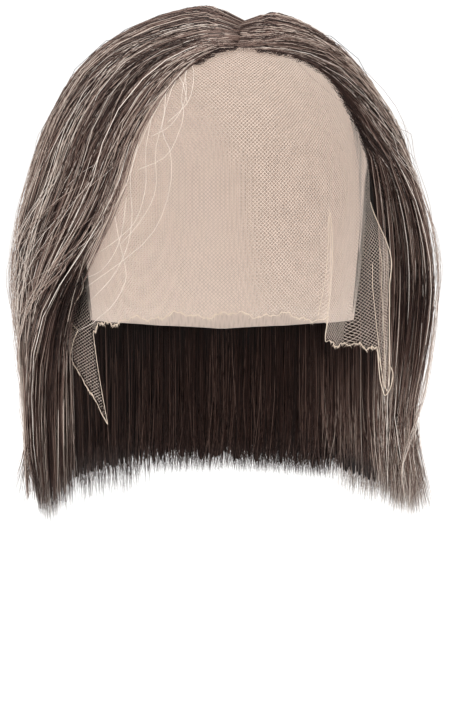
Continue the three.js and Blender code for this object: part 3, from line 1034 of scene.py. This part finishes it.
def edge_threads(rng):
    """The thread along the cut edge and the frayed ends that stand off it, as turns and heights."""
    cut = np.linspace(*CUT_ENDS, CUT_RUNS + 1)
    for first, last in zip(cut[:-1], cut[1:]):
        turns = np.linspace(first, last, EDGE_ROWS)
        thick = CUT_RADIUS[0] + CUT_RADIUS[1] * np.sin(turns * CUT_PACES[0]) * np.sin(turns * CUT_PACES[1])
        yield np.stack([turns, cut_height(turns)], axis=1), thick
    for turn in rng.uniform(*FRAYED_BETWEEN, FRAYED_ENDS):
        lean, length = rng.normal(0, FRAYED_LEAN), rng.uniform(*FRAYED_LENGTH)
        turns = turn + np.linspace(0, lean, FRAYED_ROWS)
        heights = cut_height(turn) + np.linspace(FRAYED_FROM, -length, FRAYED_ROWS)
        yield np.stack([turns, heights], axis=1), np.full(FRAYED_ROWS, FRAYED_RADIUS)


class WIG_OT_lay_lace(bpy.types.Operator):
    """Lay the lace front with its cut edges, pleat and loose side tabs"""

    bl_idname = "wig.lay_lace"
    bl_label = "Lay Lace"

    # The turned grid that the net is cut from, and how far down from the crown its middle lies
    HALF_SIDE = 215.0
    MIDDLE_DOWN = 160.0
    DOUBLED_HALF_SIDE = 45.0
    # The flat lace in metres, and the share of it that is thread
    FLAT_WIDTH = 0.24
    FLAT_LENGTH = 0.245
    THREAD_SHARE = 0.3
    FRAY_SEED = 5

    def execute(self, context):
        sizes, colours = context.scene.wig_sizes, context.scene.wig_colours
        material = material_of(twisted_lace_thread, colours)
        rolled = material_of(rolled_lace_edge, colours)
        cloth = LaceFlat()

        def lay(flat):
            turn, profile = cloth.turn_and_profile(flat + (0, self.MIDDLE_DOWN))
            return lace_point(turn, profile, LACE_WALL / 2), cloth.inside(turn, profile)

        def lay_double(flat, corners):
            middle = np.mean([(turn, profile_at(height)) for turn, height in corners], axis=0)
            turn, profile = cloth.turn_and_profile(flat + cloth.flat_place(*middle))
            height = profile_height(profile)
            inside = np.ones(len(turn), bool)
            for (turn_a, height_a), (turn_b, height_b) in zip(corners, np.roll(corners, -1, axis=0)):
                left = (turn_b - turn_a) * (height - height_a) - (height_b - height_a) * (turn - turn_a)
                inside &= left < 0
            return lace_point(turn, profile, LACE_WALL), inside

        pitch, thread = sizes.lace_pitch / MM, sizes.lace_thread / MM
        net = net_mesh("lace_front_net", self.HALF_SIDE, pitch, thread, lay)
        lace = add_piece(context, net, "lace", material, "lace_front")
        for name, corners in DOUBLED_LACE.items():
            net = net_mesh(
                name, self.DOUBLED_HALF_SIDE, pitch, thread, lambda flat: lay_double(flat, corners)
            )
            add_piece(context, net, "lace", material)

        lines = list(edge_threads(np.random.default_rng(self.FRAY_SEED)))
        for radius, *points in LACE_FOLDS:
            lines.append((through(points, np.linspace(0, 1, EDGE_ROWS)), np.full(EDGE_ROWS, radius)))
        for name, rows in (("lace_edges", EDGE_ROWS), ("lace_frayed_ends", FRAYED_ROWS)):
            chosen = [(line, radius) for line, radius in lines if len(line) == rows]
            radii = np.array([radius for _, radius in chosen])
            turns, heights = np.array([line for line, _ in chosen]).transpose(2, 0, 1)
            paths = lace_point(turns, profile_at(heights), LACE_WALL / 2 + radii.mean(axis=1, keepdims=True))
            mesh = tube_mesh(name, paths, radii, level_out(paths), np.full(turns.shape, 0.5))
            add_piece(context, mesh, "lace", rolled)
        return {"FINISHED"}


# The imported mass: its grid, its share of the hair's depth, and where it ends and how unevenly
MASS_ACROSS = 90
MASS_ALONG = 40
MASS_DEPTH = 0.8
MASS_END = 1.96
MASS_RAGGED = 0.09
# The front edge of a side: how far across it thickens, its least depth, and how much sooner it ends
WEDGE = (-0.02, 0.3)
WEDGE_DEPTH = 0.12
WEDGE_SHORTER = 0.1
# Over the head the mass has a front edge of its own, which goes over to that of the fall from here to here
TOP_EDGE = (0.05, 0.25)
# It thins at the parting, and closes towards the hem to between these shares of its depth
PARTING_THIN = 0.4
PARTING_THIN_TO = 0.3
CLOSES_FROM = 1.4
CLOSED = (0.5, 0.55)
MASS_BED = 0.02


def packed_depth(combed, first, across):
    """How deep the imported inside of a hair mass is: thin along the front edge of a side."""
    wedge = smooth(across, first + WEDGE[0], first + WEDGE[1]) if combed.side else np.ones_like(across)
    return MASS_DEPTH * lerp(WEDGE_DEPTH, 1, wedge)


def mass_mesh(name, combed, first, first_on_top):
    """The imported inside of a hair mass: a sheet under the strands, thickened down to the bed.

    It is thin at the parting and at the hem, where the strands alone show.
    """
    bm = bmesh.new()
    bmesh.ops.create_grid(bm, x_segments=MASS_ACROSS, y_segments=MASS_ALONG, size=1)
    number = bm.verts.layers.int.new("number")
    uv = bm.loops.layers.uv.new("OFBake")
    flat = np.array([v.co[:2] for v in bm.verts]) / 2 + 0.5
    column = (flat[:, 0] * MASS_ACROSS).round().astype(int)
    ragged = np.random.default_rng(MASS_ACROSS).uniform(0, MASS_RAGGED, MASS_ACROSS + 1)[column]
    edge = lerp(first_on_top, first, smooth(flat[:, 1], *TOP_EDGE))
    across = lerp(edge, 2, flat[:, 0])
    deep = packed_depth(combed, edge, across)
    end = MASS_END - ragged - WEDGE_SHORTER * (1 - deep / MASS_DEPTH)
    along = end * flat[:, 1]
    closing = smooth(along, CLOSES_FROM, end)
    deep *= lerp(PARTING_THIN, 1, smooth(along, 0.0, PARTING_THIN_TO))
    top, _ = combed.sample(across, along, lerp(deep, CLOSED[1] * deep, closing))
    bed, _ = combed.sample(across, along, lerp(MASS_BED, CLOSED[0] * deep, closing))
    for k, vert in enumerate(bm.verts):
        vert[number] = k
        vert.co = Vector(top[k]) * MM
    for face in bm.faces:
        for loop in face.loops:
            loop[uv].uv = flat[loop.vert[number]]
    made = bmesh.ops.extrude_face_region(bm, geom=bm.faces[:], use_keep_orig=True)
    for item in made["geom"]:
        if isinstance(item, bmesh.types.BMVert):
            item.co = Vector(bed[item[number]]) * MM
    bmesh.ops.recalc_face_normals(bm, faces=bm.faces)
    return mesh_from(bm, name)


class Hair:
    """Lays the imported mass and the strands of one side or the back."""

    # The share of strands that stray, and how much further than the rest
    LOOSE_SHARE = 0.1
    LOOSE_STRAY = 1.7
    # How far a strand's flare differs from its lock's, and its least and most
    FLARE_SPREAD = 0.35
    FLARES = (-0.5, 2.6)
    # The tone that strands are light from, how thick light and dark ones are, and how far that varies. Light
    # strands are grey hairs, drawn thicker so that they also stand in for highlights along the locks
    LIGHT_FROM = 0.6
    LIGHT_THICKNESS = 1.15
    DARK_THICKNESS = 0.9
    THICKNESSES = (0.75, 1.2)
    # The share of strands that are cut in layers, and how much shorter they are
    LAYERED_SHARE = 0.12
    LAYERED_BY = (0.05, 0.4)
    # The length of dark roots, which along the right hairline are partly painted shade, where tips grow
    # lighter, and the lightest tone
    DARK_ROOT = 0.25
    TIPS_FROM = (1.2, 1.9)
    LIGHTEST = 0.99
    # Strands over the mass: how much denser they are in front, the front edge that some are combed back from,
    # how far, where along the comb they go back and come forward again, and where parted ones move back
    DENSER_IN_FRONT = 1.35
    FRONT_EDGE = (-0.02, 0.18)
    BACK_BY = (0.1, 0.7)
    BACK_FROM = (0.0, 0.7)
    FORWARD_FROM = (1.1, 1.5)
    PARTED_FROM = (0.1, 0.5)
    # The layer they lie in, thinner from a light tone on, and how they crowd to its top. The light strands
    # lie in the thin top layer as painted highlights on the outside of the hair, over its dark inside
    TOP_TONE = 0.55
    TOP_LAYER = 0.12
    LAYER = 0.36
    CROWDED = 1.3
    # The share that is rooted at the parting, where it and the rest start, and how much later further back
    ROOTED_SHARE = 0.8
    ROOTED_AT = (0.0, 0.03)
    OTHERS_AT = (0.04, 0.6)
    LATER_BEHIND = 0.3
    LATER_AT_BACK = 0.35
    # The level of roots at the parting, how soon strands rise from it, and how unevenly they end
    ROOT_LEVEL = 0.25
    ROOT_RISE = 0.1
    OVER_ENDS = 0.02
    # Strands inside the fall: the share in front and how far across it lies, the depth of the rest and how
    # they crowd to the bed, where all start and end, and the shares of tone in front and behind
    FRONT_SHARE = 0.3
    FRONT_WIDTH = 0.14
    INNER_DEPTH = 0.9
    INNER_CROWDED = 1.6
    INNER_FROM = (1.2, 1.4)
    INNER_TO = (1.985, 0.025)
    # The lower tone behind is painted shade, for the shade in the hollow of the fall.
    INNER_TONES = (0.9, 0.6)
    # Short hairs along the hairline: how long they are, how soon they rise, how far their roots stand out
    # over the lace in millimetres, and how far across, how deep and how light they are at most
    STUBBLE_LENGTH = (0.02, 0.06)
    STUBBLE_RISE = 0.05
    STUBBLE_SPILL = (-0.5, 3.2)
    STUBBLE_WIDTH = 0.1
    STUBBLE_DEPTH = 0.35
    STUBBLE_TONE = 0.35

    def __init__(self, context, name, combed, seed, locks, shape=None, tips=0.0):
        colours = context.scene.wig_colours
        self.context = context
        self.name = name
        self.combed = combed
        self.shape = shape
        self.tips = tips
        self.rng = np.random.default_rng(seed)
        self.locks = Locks(self.rng, locks)
        self.radius = context.scene.wig_sizes.hair_radius / MM
        self.packed = material_of(packed_hair_painted_shade, colours)
        self.fibre = material_of(straight_hair_fibre, colours)

    def mass(self, first, first_on_top):
        mesh = mass_mesh(f"{self.name}_mass", self.combed, first, first_on_top)
        add_piece(self.context, mesh, "hair", self.packed, self.name)

    def ends(self, lock, spread):
        """Where strands end: by their lock, most a little short of the hem and some a good deal."""
        rng, count = self.rng, len(lock)
        layered = np.where(rng.random(count) < self.LAYERED_SHARE, rng.uniform(*self.LAYERED_BY, count), 0)
        return 2.0 + self.locks.lengths[lock] - np.abs(rng.normal(0, spread, count)) - layered

    def strands(self, part, lock, across, along, depth, stray, tones, spill=0.0, dark_roots=0.0):
        """Adds a piece of strands that follow the comb. Some of them stray much further than the rest."""
        rng, count = self.rng, len(along)
        loose = rng.random((count, 1)) < self.LOOSE_SHARE
        far = np.where(loose, self.LOOSE_STRAY * stray, stray)
        points, out = comb(rng, self.combed, self.locks, lock, across, along, depth, far, spill)
        if self.shape:
            flare = self.locks.flares[lock] + rng.normal(0, self.FLARE_SPREAD, count)
            points = self.shape(points, along, depth, np.clip(flare, *self.FLARES)[:, None])
        tones = tones + self.locks.leans[lock]
        # Light strands are drawn thicker: grey hairs that also stand in for highlights along the locks.
        thickness = np.where(tones > self.LIGHT_FROM, self.LIGHT_THICKNESS, self.DARK_THICKNESS)
        radius = self.radius * thickness * rng.uniform(*self.THICKNESSES, count)
        shown = tones[:, None] * lerp(1, rising(along[:, 0], along, self.DARK_ROOT), dark_roots)
        shown = np.clip(shown + self.tips * smooth(along, *self.TIPS_FROM), 0, self.LIGHTEST)
        mesh = tube_mesh(f"{self.name}_{part}", points, taper(along, radius), out, shown)
        add_piece(self.context, mesh, "hair", self.fibre)

    def over(self, count, lean=0.0, parted=0.0):
        """Strands that show over the mass, the light ones on top, where they are grey hairs and painted
        highlights too. Parted, they leave the hairline bare.
        """
        rng, side = self.rng, self.combed.side
        tones = tones_for(rng, count) + lean
        across = 2 * rng.random(count) ** (self.DENSER_IN_FRONT if side else 1)
        bared = rng.random(count) > smooth(across, *self.FRONT_EDGE) if side else np.zeros(count, bool)
        moved = np.where(bared, rng.uniform(*self.BACK_BY, count), 0)
        # Light strands lie in the thin top layer, as painted highlights on the outside of the hair.
        layer = np.where(tones > self.TOP_TONE, self.TOP_LAYER, self.LAYER)
        depth = 1 - layer * rng.random(count) ** self.CROWDED
        lock = self.locks.of(rng, across, depth)
        rooted = rng.random(count) < self.ROOTED_SHARE
        start = np.where(rooted, rng.uniform(*self.ROOTED_AT, count), rng.uniform(*self.OTHERS_AT, count))
        later = np.where(across > 1, self.LATER_BEHIND, 0) if side else self.LATER_AT_BACK
        start += rng.random(count) * later
        along = rows_along(rng, start, self.ends(lock, self.OVER_ENDS), STRAND_ROWS)
        root_level = np.where(rooted, self.ROOT_LEVEL, 0)[:, None]
        rise = lerp(root_level, 1, rising(start, along, self.ROOT_RISE))
        moved = moved[:, None] * smooth(along, *self.BACK_FROM) * (1 - smooth(along, *self.FORWARD_FROM))
        place = across[:, None] + moved
        place += parted * (1 - across[:, None] / 2) * smooth(along, *self.PARTED_FROM)
        depth = depth[:, None] * rise
        self.strands("strands", lock, place, along, depth, stray=2.1, tones=tones, dark_roots=0.1)

    def under(self, count):
        """Strands inside the fall, from behind the cap's edge to the hem. Those in front are lighter; those
        behind are painted darker as the shade in the hollow of the fall.
        """
        rng = self.rng
        in_front = (rng.random(count) < self.FRONT_SHARE) & bool(self.combed.side)
        across = np.where(in_front, self.FRONT_WIDTH, 2) * rng.random(count)
        crowded = np.where(in_front, 1, self.INNER_CROWDED)
        depth = np.where(in_front, 1, self.INNER_DEPTH) * rng.random(count) ** crowded
        lock = self.locks.of(rng, across, depth)
        start, end = rng.uniform(*self.INNER_FROM, count), rng.normal(*self.INNER_TO, count)
        along = rows_along(rng, start, end, SHORT_ROWS)
        depth = depth[:, None] * np.ones_like(along)
        # Those behind are painted darker, as the shade in the hollow of the fall.
        tones = tones_for(rng, count) * np.where(in_front, *self.INNER_TONES)
        self.strands("under", lock, across[:, None], along, depth, stray=2.0, tones=tones, dark_roots=0.8)

    def stubble(self, count, first, last):
        """Short dark hairs along the hairline, whose roots stand unevenly on the lace."""
        rng = self.rng
        start = rng.uniform(first, last, count)
        along = rows_along(rng, start, start + rng.uniform(*self.STUBBLE_LENGTH, count), SHORT_ROWS)
        grown = rising(start, along, self.STUBBLE_RISE)
        lock = self.locks.of(rng, np.zeros(count), np.zeros(count))
        spill = rng.uniform(*self.STUBBLE_SPILL, (count, 1)) * (1 - grown)
        across = self.STUBBLE_WIDTH * rng.random((count, 1)) * grown
        depth = self.STUBBLE_DEPTH * grown
        tones = self.STUBBLE_TONE * rng.random(count)
        self.strands("stubble", lock, across, along, depth, stray=0.3, tones=tones, spill=spill)


# The tips of the left side: where they turn, the share that they turn in by, how far and from which flare
# some kick out, and the depth that hangs lowest, how far, and how fast the rest rises from it
LEFT_TIPS_FROM = (1.8, 2.02)
LEFT_TURNED_IN = 0.035
LEFT_KICK = 14.0
LEFT_KICK_FROM = 1.3
LEFT_LOWEST = 0.55
LEFT_DROP = 16.0
LEFT_ROUND = 80.0
# The tips of the right side: where they kick out, how far, the most flare that counts and the share inside,
# and how far the innermost rise and the outermost drop from there
RIGHT_TIPS_FROM = (1.6, 2.0)
RIGHT_KICK = 13.0
RIGHT_FLARE = 1.6
RIGHT_INNER = 0.3
RIGHT_RISE = 10.0
RIGHT_DROP = 24.0


def rounded_in(points, along, depth, flare):
    """The tips of the left side turn in and under: the middle of the lock hangs lowest."""
    turned = smooth(along, *LEFT_TIPS_FROM)
    kicked = LEFT_KICK * np.maximum(flare - LEFT_KICK_FROM, 0) * depth
    points = points.copy()
    points[..., :2] *= 1 - (LEFT_TURNED_IN * turned * depth)[..., None]
    points = pushed_out(points, turned * kicked)
    points[..., 2] += turned * (LEFT_ROUND * (depth - LEFT_LOWEST) ** 2 - LEFT_DROP)
    return points


def flared_out(points, along, depth, flare):
    """The tips of the right side kick out, the outermost longest and some locks more than others."""
    turned = smooth(along, *RIGHT_TIPS_FROM) ** 2
    kicked = RIGHT_KICK * np.minimum(flare, RIGHT_FLARE) * lerp(RIGHT_INNER, 1, depth)
    points = pushed_out(points, turned * kicked)
    points[..., 2] += turned * (RIGHT_RISE - RIGHT_DROP * depth)
    return points


class WIG_OT_comb_left(bpy.types.Operator):
    """Comb the hair from the parting to the left, over the lace and down"""

    bl_idname = "wig.comb_left"
    bl_label = "Comb Left"

    # The wispy front: how far across it lies and how it crowds back, where it starts, how unevenly it ends,
    # how much flatter it lies over the head until it reaches the fall, and how much lighter it is
    FRONT_WIDTH = 0.3
    FRONT_CROWDED = 0.6
    FRONT_FROM = (0.002, 0.016)
    FRONT_ENDS = 0.04
    FLATTER = 0.6
    FULL_FROM = (0.7, 1.3)
    LIGHTER = 0.06
    # The share that has slipped over the lace, how far in millimetres, and from where to where
    SLIPPED_SHARE = 0.2
    SLIPPED_BY = 3.0
    SLIPPED_FROM = (0.1, 0.5)
    SLIPPED_TO = (1.0, 1.35)

    def execute(self, context):
        sizes = context.scene.wig_sizes
        hair = Hair(context, "hair_left", Combed(-1), seed=11, locks=60, shape=rounded_in, tips=0.02)
        hair.mass(first=0.12, first_on_top=0.03)
        hair.over(sizes.left_strands)
        hair.under(count=900)
        hair.stubble(count=160, first=0.0, last=0.2)
        rng, count = hair.rng, sizes.left_edge_strands
        across = self.FRONT_WIDTH * rng.random(count) ** self.FRONT_CROWDED
        deep = rng.random(count)
        lock = hair.locks.of(rng, across, deep)
        start = rng.uniform(*self.FRONT_FROM, count)
        along = rows_along(rng, start, hair.ends(lock, self.FRONT_ENDS), STRAND_ROWS)
        depth = deep[:, None] * lerp(self.FLATTER, 1, smooth(along, *self.FULL_FROM))
        loose = rng.random(count) < self.SLIPPED_SHARE
        slipped = np.where(loose, np.abs(rng.normal(0, self.SLIPPED_BY, count)), 0)[:, None]
        spill = slipped * smooth(along, *self.SLIPPED_FROM) * (1 - smooth(along, *self.SLIPPED_TO))
        tones = tones_for(rng, count) + self.LIGHTER
        hair.strands(
            "front", lock, across[:, None], along, depth, stray=2.2, tones=tones, spill=spill, dark_roots=0.3
        )
        return {"FINISHED"}


class WIG_OT_comb_right(bpy.types.Operator):
    """Comb the hair from the parting to the right, back from the hairline and down"""

    bl_idname = "wig.comb_right"
    bl_label = "Comb Right"

    MASS_FROM = 0.03
    # The front: where along the hairline it starts, how far it sweeps back and over which length, how it
    # rises over the mass and crowds towards it, and how unevenly it ends
    FRONT_FROM = (0.002, 0.85)
    SWEEPS = (0.03, 0.42)
    SWEPT_OVER = 0.5
    RISEN_OVER = 0.25
    OVER_MASS = 0.04
    FRONT_CROWDED = 1.2
    FRONT_ENDS = 0.05
    # The share that is light from the root on, besides all that starts near the parting, and the lean in
    # tone:
    # the light ones lighter, the dark ones painted darker as the shade that this side lies in
    LIGHT_SHARE = 0.2
    LIGHT_BEFORE = 0.12
    LIGHT_LEAN = 0.12
    DARK_LEAN = -0.04
    LIGHT_ROOTS = 0.2

    def execute(self, context):
        sizes = context.scene.wig_sizes
        hair = Hair(context, "hair_right", Combed(1), seed=23, locks=54, shape=flared_out, tips=0.3)
        hair.mass(self.MASS_FROM, first_on_top=0.1)
        # The strands over the mass are painted a little darker, as the shade that this side lies in.
        hair.over(sizes.right_strands, lean=-0.04, parted=0.2)
        hair.under(count=900)
        hair.stubble(count=400, first=0.1, last=0.9)
        rng, count = hair.rng, sizes.right_edge_strands
        deep = rng.random(count) ** self.FRONT_CROWDED
        start = rng.uniform(*self.FRONT_FROM, count)
        sweep = rng.uniform(*self.SWEEPS, count)
        lock = hair.locks.of(rng, sweep, deep)
        along = rows_along(rng, start, hair.ends(lock, self.FRONT_ENDS), STRAND_ROWS)
        across = sweep[:, None] * rising(start, along, self.SWEPT_OVER)
        packed = packed_depth(hair.combed, self.MASS_FROM, across)
        depth = lerp(packed + self.OVER_MASS, 1, deep[:, None]) * rising(start, along, self.RISEN_OVER)
        light = (rng.random(count) < self.LIGHT_SHARE) | (start < self.LIGHT_BEFORE)
        # The dark ones are painted darker, as the shade that this side lies in.
        tones = tones_for(rng, count) + np.where(light, self.LIGHT_LEAN, self.DARK_LEAN)
        # The dark ones are dark from the root: partly dark roots, partly painted shade along the hairline
        # under the hair that rises from it.
        dark_roots = np.where(light, self.LIGHT_ROOTS, 1)[:, None]
        hair.strands("front", lock, across, along, depth, stray=1.6, tones=tones, dark_roots=dark_roots)
        return {"FINISHED"}


class WIG_OT_comb_back(bpy.types.Operator):
    """Comb the hair from the crown over the back"""

    bl_idname = "wig.comb_back"
    bl_label = "Comb Back"

    def execute(self, context):
        hair = Hair(context, "hair_back", Combed(0), seed=37, locks=56)
        hair.mass(first=0.0, first_on_top=0.0)
        hair.over(context.scene.wig_sizes.back_strands)
        hair.under(count=2600)
        return {"FINISHED"}


# Long hairs that have slipped from the left side over the lace: x and height at points along each
SLIPPED_HAIRS = (
    (
        (-19, -25), (-25, -35), (-30, -55), (-26, -65), (-25, -80), (-30, -99), (-40, -114), (-63, -133),
        (-75, -143),
    ),
    ((-17, -23), (-20, -39), (-19, -47), (-21, -56), (-28, -69), (-45, -77)),
    ((-42, -63), (-46, -80), (-45, -99), (-48, -116), (-56, -132), (-70, -148)),
    ((-54, -100), (-52, -112), (-49, -125), (-49, -134), (-56, -147), (-65, -156), (-76, -169)),
    ((-22, -28), (-19, -34), (-17, -44)),
    ((-16, -20), (-14, -29), (-17, -42), (-28, -53)),
    ((-28, -34), (-29, -49), (-33, -66), (-33, -86), (-41, -102), (-53, -116)),
    ((-35, -49), (-38, -66), (-38, -84), (-43, -101), (-52, -111), (-65, -121)),
    ((-48, -90), (-50, -105), (-54, -118), (-62, -129), (-74, -136)),
    ((-12, -18), (-18, -26), (-18, -40), (-25, -53), (-37, -60)),
)
SLIPPED_RADIUS = 0.16
SLIPPED_TONE = 0.98
SLIPPED_GAP = 0.8
# Groups of loose hairs: the side, how many, how far across, where along the comb they start, how far they
# drift across it, and how far they lift off it. The last two groups cross the others.
LOOSE_HAIRS = (
    (-1, 110, 2.0, (0.05, 1.3), 0.1, 0.055),
    (1, 100, 2.0, (0.05, 1.3), 0.1, 0.055),
    (0, 60, 2.0, (0.05, 1.3), 0.1, 0.055),
    (-1, 90, 0.5, (0.5, 1.5), 0.2, 0.055),
    (1, 40, 0.8, (0.9, 1.5), -0.25, 0.02),
    (-1, 50, 0.6, (1.0, 1.6), -0.25, 0.02),
)
# How they crowd to the front, their lengths, their level on the hair, their waves up and sideways, their
# share of the strands' radius, and their tones
LOOSE_CROWDED = 1.4
LOOSE_LENGTHS = (0.4, 1.0)
LOOSE_LEVEL = 1.01
LOOSE_LIFT = 0.13
LOOSE_WAVE = 7.0
LOOSE_RADII = (0.5, 0.75)
LOOSE_TONES = (0.6, 0.99)


class WIG_OT_loosen_hairs(bpy.types.Operator):
    """Loosen single hairs from the outside of the hair and over the lace"""

    bl_idname = "wig.loosen_hairs"
    bl_label = "Loosen Hairs"

    SEED = 71

    def flying(self, rng, combed, count, widest, starts, drift, lifted):
        """Hairs that leave the outside of the hair and come back to it."""
        across = widest * rng.random((count, 1)) ** LOOSE_CROWDED
        start = rng.uniform(*starts, count)
        end = np.minimum(start + rng.uniform(*LOOSE_LENGTHS, count), 2)
        along = rows_along(rng, start, end, EVEN_ROWS)
        share = 2 * (along - along[:, :1]) / (along[:, -1:] - along[:, :1])
        lift = rng.uniform(0.0, lifted, (count, 1)) * np.sin(share * math.pi / 2)
        lift += wander(rng, share, LOOSE_LIFT, (0.7, 1.2)) ** 2
        place = across + drift * np.abs(rng.normal(0, 1, (count, 1))) * share
        points, out = combed.sample(np.clip(place, 0, 2), along, LOOSE_LEVEL + lift)
        wave = wander(rng, share, LOOSE_WAVE, (0.5, 0.9))
        return points + across_strands(points, out) * wave[..., None], out

    def slipped(self):
        """The charted hairs, laid over the lace."""
        paths = []
        for points in SLIPPED_HAIRS:
            x, height = through(points, EVEN_ROWS).T
            profile = profile_at(height)
            half_width = HEAD_HALF_WIDTH * profile_width(profile)
            turn = -np.degrees(np.arcsin(np.clip(-x / half_width, -1, 1)))
            paths.append(lace_point(turn, profile, LACE_WALL + SLIPPED_GAP))
        paths = np.array(paths)
        return paths, level_out(paths)

    def execute(self, context):
        rng = np.random.default_rng(self.SEED)
        groups = [self.slipped()]
        for side, *settings in LOOSE_HAIRS:
            groups.append(self.flying(rng, Combed(side), *settings))
        paths = np.concatenate([points for points, _ in groups])
        out = np.concatenate([way for _, way in groups])
        radii = context.scene.wig_sizes.hair_radius / MM * rng.uniform(*LOOSE_RADII, (len(paths), 1))
        tones = rng.uniform(*LOOSE_TONES, (len(paths), 1)) * np.ones(paths.shape[:2])
        radii[: len(SLIPPED_HAIRS)] = SLIPPED_RADIUS
        tones[: len(SLIPPED_HAIRS)] = SLIPPED_TONE
        mesh = tube_mesh("loose_hairs", paths, radii * np.ones(paths.shape[:2]), out, tones)
        material = material_of(straight_hair_fibre, context.scene.wig_colours)
        add_piece(context, mesh, "hair", material)
        return {"FINISHED"}


# The camera looks a little down at the wig. Its target, sensor and lens and the floor's height are in
# millimetres, and everything else is in metres.
CAMERA_DISTANCE = 1.4
CAMERA_ELEVATION = 6.0
CAMERA_TARGET = (2.2, 0.0, -179.6)
SENSOR_HEIGHT = 24.0
CAMERA_LENS = 86.16
FLOOR_HEIGHT = -372.0
FLOOR_RADIUS = 30.0
FLOOR_SIDES = 64
WORLD_STRENGTH = 1.08
LIGHT_TARGET = (0, 0, -0.13)
# Name, place, side and power of each light
LIGHTS = (
    ("key_light", (-0.8, -1.5, 1.7), 1.2, 24),
    ("fill_light", (1.3, -1.3, 0.7), 1.4, 6),
    ("top_light", (0.1, 0.3, 1.6), 1.4, 9),
)


class WIG_OT_set_stage(bpy.types.Operator):
    """Set the pale floor, the soft studio light and the camera"""

    bl_idname = "wig.set_stage"
    bl_label = "Set Stage"

    def execute(self, context):
        scene = context.scene
        bm = bmesh.new()
        bmesh.ops.create_circle(bm, cap_ends=True, segments=FLOOR_SIDES, radius=FLOOR_RADIUS)
        bmesh.ops.translate(bm, verts=bm.verts, vec=(0, 0, FLOOR_HEIGHT * MM))
        floor = bpy.data.objects.new("floor", mesh_from(bm, "floor"))
        floor.data.materials.append(material_of(seamless_paper, scene.wig_colours))
        scene.collection.objects.link(floor)

        world = bpy.data.worlds.new("studio")
        world.use_nodes = True
        background = world.node_tree.nodes["Background"]
        background.inputs["Color"].default_value = (1, 1, 1, 1)
        background.inputs["Strength"].default_value = WORLD_STRENGTH
        scene.world = world
        for name, place, size, power in LIGHTS:
            light = bpy.data.lights.new(name, "AREA")
            light.size = size
            light.energy = power
            lamp = bpy.data.objects.new(name, light)
            lamp.location = place
            aim = Vector(LIGHT_TARGET) - Vector(place)
            lamp.rotation_euler = aim.to_track_quat("-Z", "Y").to_euler()
            scene.collection.objects.link(lamp)

        lens = bpy.data.cameras.new("camera")
        lens.sensor_fit = "VERTICAL"
        lens.sensor_height = SENSOR_HEIGHT
        lens.lens = CAMERA_LENS
        camera = bpy.data.objects.new("camera", lens)
        tilt = math.radians(CAMERA_ELEVATION)
        back = Vector((0, -math.cos(tilt), math.sin(tilt)))
        camera.location = Vector(CAMERA_TARGET) * MM + back * CAMERA_DISTANCE
        camera.rotation_euler = (math.pi / 2 - tilt, 0, 0)
        scene.collection.objects.link(camera)
        scene.camera = camera
        scene.view_settings.view_transform = "Standard"
        return {"FINISHED"}


class WIG_PT_panel(bpy.types.Panel):
    """Lists the wig's settings and the steps that build it"""

    bl_idname = "WIG_PT_panel"
    bl_label = "Lace Front Wig"
    bl_space_type = "VIEW_3D"
    bl_region_type = "UI"
    bl_category = "Wig"

    def draw(self, context):
        for group in (context.scene.wig_sizes, context.scene.wig_colours):
            box = self.layout.box()
            for name in group.__annotations__:
                box.prop(group, name)
        for step in STEPS:
            self.layout.operator(step.bl_idname)


STEPS = (
    WIG_OT_set_stage,
    WIG_OT_sew_cap,
    WIG_OT_lay_lace,
    WIG_OT_comb_left,
    WIG_OT_comb_right,
    WIG_OT_comb_back,
    WIG_OT_loosen_hairs,
)
CLASSES = (WigSizes, WigColours, *STEPS, WIG_PT_panel)


def register():
    for cls in CLASSES:
        bpy.utils.register_class(cls)
    bpy.types.Scene.wig_sizes = bpy.props.PointerProperty(type=WigSizes)
    bpy.types.Scene.wig_colours = bpy.props.PointerProperty(type=WigColours)


def unregister():
    del bpy.types.Scene.wig_colours
    del bpy.types.Scene.wig_sizes
    for cls in reversed(CLASSES):
        bpy.utils.unregister_class(cls)


def main():
    register()
    bpy.ops.wig.set_stage()
    bpy.ops.wig.sew_cap()
    bpy.ops.wig.lay_lace()
    bpy.ops.wig.comb_left()
    bpy.ops.wig.comb_right()
    bpy.ops.wig.comb_back()
    bpy.ops.wig.loosen_hairs()


if __name__ == "__main__":
    main()
